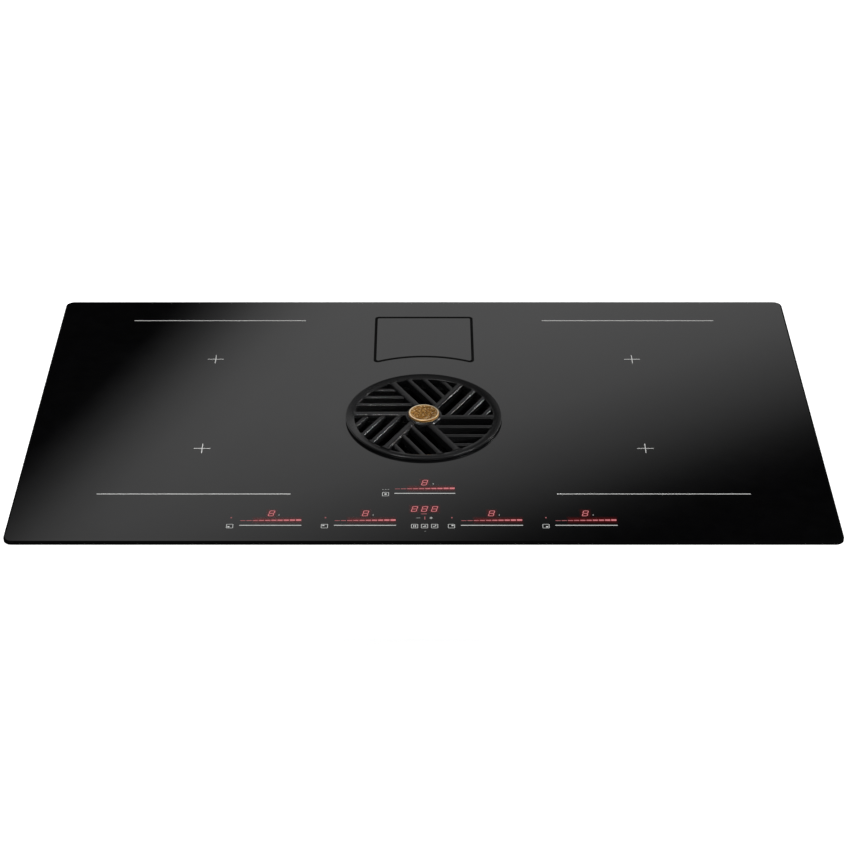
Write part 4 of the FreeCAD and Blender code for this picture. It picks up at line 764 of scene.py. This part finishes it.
def add_grille_bar(turn, offset, width, top, start):
    """A bar parallel to a spoke, from its start out to the ring, with rounded edges and cast fillets."""
    half = width / 2
    section = soften(
        [(-half, bar_foot), (half, bar_foot), (half, top), (-half, top)],
        [0.3 * mm, 0.3 * mm, 0.9 * mm, 0.9 * mm], steps=4)
    length = math.sqrt(trim_radius ** 2 - offset ** 2) - start
    stations = [(0, 1.3), (1 * mm, 1.1), (2.5 * mm, 1), (length - 4 * mm, 1), (length - 2.5 * mm, 1.06),
                (length - 1.5 * mm, 1.2), (length, 1.9)]
    loops = []
    for along, flare in stations:
        loop = []
        for across, height in section:
            y = across * flare - offset
            reach = math.sqrt(trim_radius ** 2 - y ** 2) - start
            x = start + reach * along / length
            loop.append(casting.verts.new((vent.x + x * math.cos(turn) - y * math.sin(turn),
                                           vent.y + x * math.sin(turn) + y * math.cos(turn), height)))
        loops.append(loop)
    casting.faces.new(loops[0])
    casting.faces.new(list(reversed(loops[-1])))
    for inner, outer in zip(loops, loops[1:]):
        join_loops(casting, inner, outer, flipped=True)


sector_angle = math.radians(60)
spoke_offset, spoke_width = 3.6 * mm, 7.4 * mm
spoke_top = ring_top - 0.4 * mm
bar_offsets = (23.8 * mm, 41.1 * mm, 58.4 * mm)
bar_width = 5.2 * mm
bar_top = ring_top - 0.8 * mm
bar_step = 0.9 * mm
for sector in range(6):
    turn = math.radians(60 * sector)
    add_grille_bar(turn, spoke_offset, spoke_width, spoke_top, 0.3 * hub_radius)
    for number, offset in enumerate(bar_offsets):
        start = offset / math.tan(sector_angle)
        add_grille_bar(turn, offset, bar_width, bar_top - number * bar_step, start)
hub_top = ring_top + 0.6 * mm
hub_profile = soften(
    [(0.2 * mm, hub_top), (0.2 * mm, bar_foot), (hub_radius, bar_foot),
     (hub_radius, hub_top)], [0, 0, 0.3 * mm, 2.6 * mm], steps=8)
add_turned(casting, hub_profile, vent, steps=96)

enamel, nodes, links, shader = open_material("satin_black_enamel")
skin = use_group(nodes, grain, Scale=900, Smooth=0.16, Rough=0.26, Contrast=0.2)
tint(nodes, links, (0.004, 0.004, 0.0042), skin.outputs["Shade"], shader)
shader.inputs["Specular IOR Level"].default_value = 0.22
links.new(skin.outputs["Roughness"], shader.inputs["Roughness"])
add_bump(nodes, links, skin.outputs["Height"], 0.015 * mm, shader)
grille = finish_piece("grille_casting", casting, enamel, "grille", smooth=38)
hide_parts("vent_grille")

# ---------------------------------------------------------------------------------------------
# Medallion: pressed brass with a polished raised rim.  Inside it lie a ring of beads and chased scrolls,
# aged to brown in the hollows.
# ---------------------------------------------------------------------------------------------

medal_low, medal_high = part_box("grille_medallion")
medal_radius = (medal_high.x - medal_low.x) / 2
medal_foot, medal_top = medal_low.z, medal_high.z
rim_rise = 0.55 * mm
field = medal_top - rim_rise
rim_crown, rim_foot = 0.93, 0.87
outer_fall, outer_share = 0.8 * mm, 0.07
inner_fall, inner_share = 0.5 * mm, 0.06
bead_circle, bead_reach = 0.8, 0.05
bead_height, bead_count = 0.2 * mm, 42
scroll_height = 0.12 * mm
broad_chasing, fine_chasing = 0.3 * mm, 0.34 * mm


def medal_height(radius, angle):
    """The pressed relief's height over the medallion's field."""
    share = radius / medal_radius
    rim = medal_top - field
    if share > rim_crown:
        return rim - outer_fall * ((share - rim_crown) / outer_share) ** 2
    if share > rim_foot:
        return rim - inner_fall * ((rim_crown - share) / inner_share) ** 2
    place = Vector((radius * math.cos(angle), radius * math.sin(angle), 0))
    bead_line = max(0, 1 - ((share - bead_circle) / bead_reach) ** 2)
    beads = bead_height * bead_line * (0.5 + 0.5 * math.cos(bead_count * angle))
    leaves = 0.6 + 0.4 * math.cos(11 * angle - 20 * share)
    scrolls = scroll_height * (1 + math.sin(6 * angle + 14 * share)) * leaves
    chasing = broad_chasing * noise.noise(place * 420) + fine_chasing * noise.noise(place * 900)
    return beads + min(1, share * 4) * scrolls + chasing


medal = bmesh.new()
medal_rings, medal_steps = 64, 168
relief_layer = medal.verts.layers.float.new("relief")
centre_vertex = medal.verts.new((vent.x, vent.y, field + medal_height(0, 0)))
centre_vertex[relief_layer] = 0.7
previous = None
for ring in range(1, medal_rings + 1):
    radius = medal_radius * ring / medal_rings
    loop = []
    for step in range(medal_steps):
        angle = 2 * math.pi * step / medal_steps
        rise = medal_height(radius, angle)
        vertex = medal.verts.new((vent.x + radius * math.cos(angle), vent.y + radius * math.sin(angle),
                                  field + rise))
        vertex[relief_layer] = min(1, max(0, 0.3 + rise / rim_rise))
        loop.append(vertex)
    if previous:
        join_loops(medal, previous, loop, flipped=True)
    else:
        for step in range(medal_steps):
            medal.faces.new((centre_vertex, loop[step], loop[(step + 1) % medal_steps]))
    previous = loop
foot_loop = [medal.verts.new((vertex.co.x, vertex.co.y, medal_foot)) for vertex in previous]
for vertex in foot_loop:
    vertex[relief_layer] = 1
join_loops(medal, previous, foot_loop, flipped=True)
medal.faces.new(foot_loop)

brass, nodes, links, shader = open_material("aged_brass")
relief = nodes.new("ShaderNodeAttribute")
relief.attribute_name = "relief"
speckle = use_group(nodes, grain, Scale=1500, Smooth=0.24, Rough=0.38, Contrast=0.4)
patina = nodes.new("ShaderNodeValToRGB")
patina_stops = ((0.05, (0.1, 0.03, 0.002)), (0.38, (0.3, 0.12, 0.014)), (0.75, (0.64, 0.35, 0.07)),
                (0.98, (0.95, 0.84, 0.62)))
while len(patina.color_ramp.elements) < len(patina_stops):
    patina.color_ramp.elements.new(0.5)
for element, (place, colour) in zip(patina.color_ramp.elements, patina_stops):
    element.position = place
    element.color = (*colour, 1)
links.new(relief.outputs["Fac"], patina.inputs["Fac"])
aged = nodes.new("ShaderNodeMixRGB")
aged.blend_type = "MULTIPLY"
aged.inputs["Fac"].default_value = 1
links.new(patina.outputs["Color"], aged.inputs["Color1"])
links.new(speckle.outputs["Shade"], aged.inputs["Color2"])
links.new(aged.outputs[0], shader.inputs["Base Color"])
links.new(speckle.outputs["Roughness"], shader.inputs["Roughness"])
shader.inputs["Metallic"].default_value = 0.85
add_bump(nodes, links, speckle.outputs["Height"], 0.03 * mm, shader)
medallion = finish_piece("medallion_relief", medal, brass, "grille", smooth=50)
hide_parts("grille_medallion")

# ---------------------------------------------------------------------------------------------
# Inlet: a black injection moulding, whose collar sits in the glass over the funnel that leads the air
# down to the filter.  The other black plastic parts have the same fine grain.
# ---------------------------------------------------------------------------------------------

black_moulding = grained("black_moulding", (0.012, 0.012, 0.012), 0.38, 0.55, scale=800, relief=0.02 * mm)
dress(black_moulding, "inlet_funnel", "tray_posts", "capacitors", "cooling_fan_frame_left",
      "cooling_fan_frame_right", "cooling_rotor_left", "cooling_rotor_right", "terminal_box",
      "terminal_cover", "cable_gland", "drip_tray")

# ---------------------------------------------------------------------------------------------
# Grease filter: a black-coated steel cage with a lifting strap, lined with woven steel wire that
# catches the grease.  The wires wind round the cup both ways and cross in diamonds.
# ---------------------------------------------------------------------------------------------

brushed, brushed_in, brushed_out = open_group(
    "brushed_lines", {"Smooth": 0.22, "Rough": 0.4, "Contrast": 0.2},
    {"Roughness": "NodeSocketFloat", "Shade": "NodeSocketFloat", "Height": "NodeSocketFloat"})
strokes = group_noise(brushed, scale=900, detail=3, stretch=(0.03, 1, 1))
brushed.links.new(group_range(brushed, strokes, brushed_in.outputs["Smooth"], brushed_in.outputs["Rough"]),
                  brushed_out.inputs["Roughness"])
brushed.links.new(group_shade(brushed, strokes, brushed_in.outputs["Contrast"]), brushed_out.inputs["Shade"])
brushed.links.new(strokes, brushed_out.inputs["Height"])


def brushed_metal(name, colour, smooth, rough, relief=0.01 * mm):
    """Bare metal with brushed lines."""
    material, nodes, links, shader = open_material(name)
    lines = use_group(nodes, brushed, Smooth=smooth, Rough=rough, Contrast=0.18)
    tint(nodes, links, colour, lines.outputs["Shade"], shader)
    links.new(lines.outputs["Roughness"], shader.inputs["Roughness"])
    shader.inputs["Metallic"].default_value = 1
    add_bump(nodes, links, lines.outputs["Height"], relief, shader)
    return material


black_steel = brushed_metal("black_coated_steel", (0.012, 0.012, 0.012), 0.35, 0.5)
dress(black_steel, "filter_rim", "filter_basket", "filter_floor", "filter_handle")

filter_low, filter_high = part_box("filter_floor")
wire_inset = 1.9 * mm
wire_radius = (filter_high.x - filter_low.x) / 2 - wire_inset
wire_width, wire_depth = 0.9 * mm, 0.35 * mm
wire_count, wire_steps = 44, 14
wire_wind = 1.15
wire_foot, wire_top = filter_high.z + 0.1 * mm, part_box("filter_rim")[1].z - 1.2 * mm
liner = bmesh.new()
for hand in (-1, 1):
    for number in range(wire_count):
        loops = []
        for step in range(wire_steps + 1):
            share = step / wire_steps
            angle = 2 * math.pi * number / wire_count + hand * share * wire_wind
            height = wire_foot + (wire_top - wire_foot) * share
            loop = []
            for inward, around in ((0, -1), (0, 1), (1, 1), (1, -1)):
                radius = wire_radius - (inward + (hand + 1) / 2) * wire_depth
                turn = angle + around * wire_width / 2 / wire_radius
                loop.append(liner.verts.new((vent.x + radius * math.cos(turn),
                                             vent.y + radius * math.sin(turn), height)))
            loops.append(loop)
        liner.faces.new(loops[0])
        liner.faces.new(list(reversed(loops[-1])))
        for lower, upper in zip(loops, loops[1:]):
            join_loops(liner, lower, upper)
finish_piece("filter_wires", liner, black_steel, "grease_filter", smooth=50)

# ---------------------------------------------------------------------------------------------
# Pan, frame and clips: folded zinc-coated sheet steel with a fine spangle.  The glass plate rests on the
# worktop over a strip of black foam.
# ---------------------------------------------------------------------------------------------

zinc, nodes, links, shader = open_material("zinc_coated_sheet")
place = nodes.new("ShaderNodeTexCoord")
spangle = nodes.new("ShaderNodeTexVoronoi")
spangle.inputs["Scale"].default_value = 130
links.new(place.outputs["Object"], spangle.inputs["Vector"])
flake = nodes.new("ShaderNodeMapRange")
flake.inputs["To Min"].default_value = 0.34
flake.inputs["To Max"].default_value = 0.5
links.new(spangle.outputs["Color"], flake.inputs["Value"])
links.new(flake.outputs["Result"], shader.inputs["Roughness"])
shine = nodes.new("ShaderNodeMapRange")
shine.inputs["To Min"].default_value = 0.82
shine.inputs["To Max"].default_value = 1.0
links.new(spangle.outputs["Color"], shine.inputs["Value"])
tint(nodes, links, (0.55, 0.56, 0.57), shine.outputs["Result"], shader)
shader.inputs["Metallic"].default_value = 0.9
dress(zinc, "support_frame", "chassis_pan", "pan_walls", "worktop_clips", "scale_bracket", "motor_bracket",
      "fan_motor")

foam = grained("black_foam", (0.02, 0.02, 0.02), 0.8, 0.95, scale=1200, contrast=0.4, relief=0.1 * mm)
dress(foam, "worktop_seal")

# ---------------------------------------------------------------------------------------------
# Duct: two grey mouldings with a light grain that meet at a flange.  A partition and the outlet's spigot
# are of the same plastic, and a dark red rubber plug closes the drain.
# ---------------------------------------------------------------------------------------------

grey_moulding = grained("grey_moulding", (0.12, 0.125, 0.13), 0.4, 0.6, scale=700, relief=0.03 * mm)
dress(grey_moulding, "duct_upper", "duct_lower", "fan_partition", "outlet_spigot")
dress(grained("drain_rubber", (0.15, 0.02, 0.02), 0.5, 0.7), "drain_plug")

# ---------------------------------------------------------------------------------------------
# Duct screws: stainless steel pan heads with a cross recess.  They are driven up through the flanges
# between the ribs and hold the two mouldings together.
# ---------------------------------------------------------------------------------------------

stainless = brushed_metal("stainless_steel", (0.58, 0.58, 0.57), 0.25, 0.4)
flange_low, flange_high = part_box("duct_upper")
screw_line = flange_high.x - 3.5 * mm
screw_foot = flange_low.z - 2.5 * mm
head_radius, head_height = 3.1 * mm, 1.9 * mm
recess_reach, recess_half, recess_depth = 1.7 * mm, 0.4 * mm, 0.9 * mm
recess_arm = ((recess_half, -recess_half), (recess_reach, -recess_half), (recess_reach, recess_half))
head_dome = ((0.72, 0.96), (0.9, 0.78), (1.0, 0.4), (1.0, 0.0))
screws = bmesh.new()


def add_screw(x, y):
    """A domed head under the flange, whose crown holds a cross-shaped recess."""
    outline = []
    for quarter_turn in range(4):
        turn = math.pi / 2 * quarter_turn
        for along, across in recess_arm:
            outline.append((along * math.cos(turn) - across * math.sin(turn),
                            along * math.sin(turn) + across * math.cos(turn)))
    crown = [screws.verts.new((x + px, y + py, screw_foot - head_height)) for px, py in outline]
    pit = [screws.verts.new((x + px, y + py, screw_foot - head_height + recess_depth)) for px, py in outline]
    screws.faces.new(pit)
    join_loops(screws, crown, pit, flipped=True)
    previous = crown
    for share, drop in head_dome:
        radius = head_radius * share
        ring = []
        for px, py in outline:
            angle = math.atan2(py, px)
            ring.append(screws.verts.new((x + radius * math.cos(angle), y + radius * math.sin(angle),
                                          screw_foot - head_height * drop)))
        join_loops(screws, previous, ring)
        previous = ring
    screws.faces.new(list(reversed(previous)))


for side in (-1, 1):
    for y in (-90, -30, 30, 90, 150, 210):
        add_screw(side * screw_line, y * mm)
finish_piece("duct_screws", screws, stainless, "chassis", smooth=40)

# ---------------------------------------------------------------------------------------------
# Inner parts: copper windings over ferrite bars with mica above them, and green circuit boards.  Their
# trays, the heat sinks, the weighing cell and the fan's wheel are aluminium, and the small holders white.
# ---------------------------------------------------------------------------------------------

dress(stainless, "fan_shaft")
aluminium = brushed_metal("rolled_aluminium", (0.72, 0.73, 0.74), 0.3, 0.45)
dress(aluminium, "scale_carrier", "load_cell", "coil_tray_left", "coil_tray_right", "heat_sink_left",
      "heat_sink_right", "impeller", "impeller_blades", "impeller_shroud")
dress(brushed_metal("lacquered_copper", (0.72, 0.36, 0.2), 0.25, 0.4), "induction_coils")
dress(grained("mica_sheet", (0.6, 0.55, 0.46), 0.3, 0.5, scale=120, contrast=0.3), "mica_sheet_left",
      "mica_sheet_right")
dress(grained("ferrite", (0.05, 0.05, 0.055), 0.5, 0.7), "ferrite_bars", "chokes")
dress(grained("solder_mask", (0.02, 0.14, 0.06), 0.25, 0.4, scale=300, contrast=0.3), "power_board_left",
      "power_board_right", "touch_board")
dress(grained("white_moulding", (0.75, 0.75, 0.73), 0.35, 0.5), "light_guide", "temperature_sensors",
      "board_standoffs")
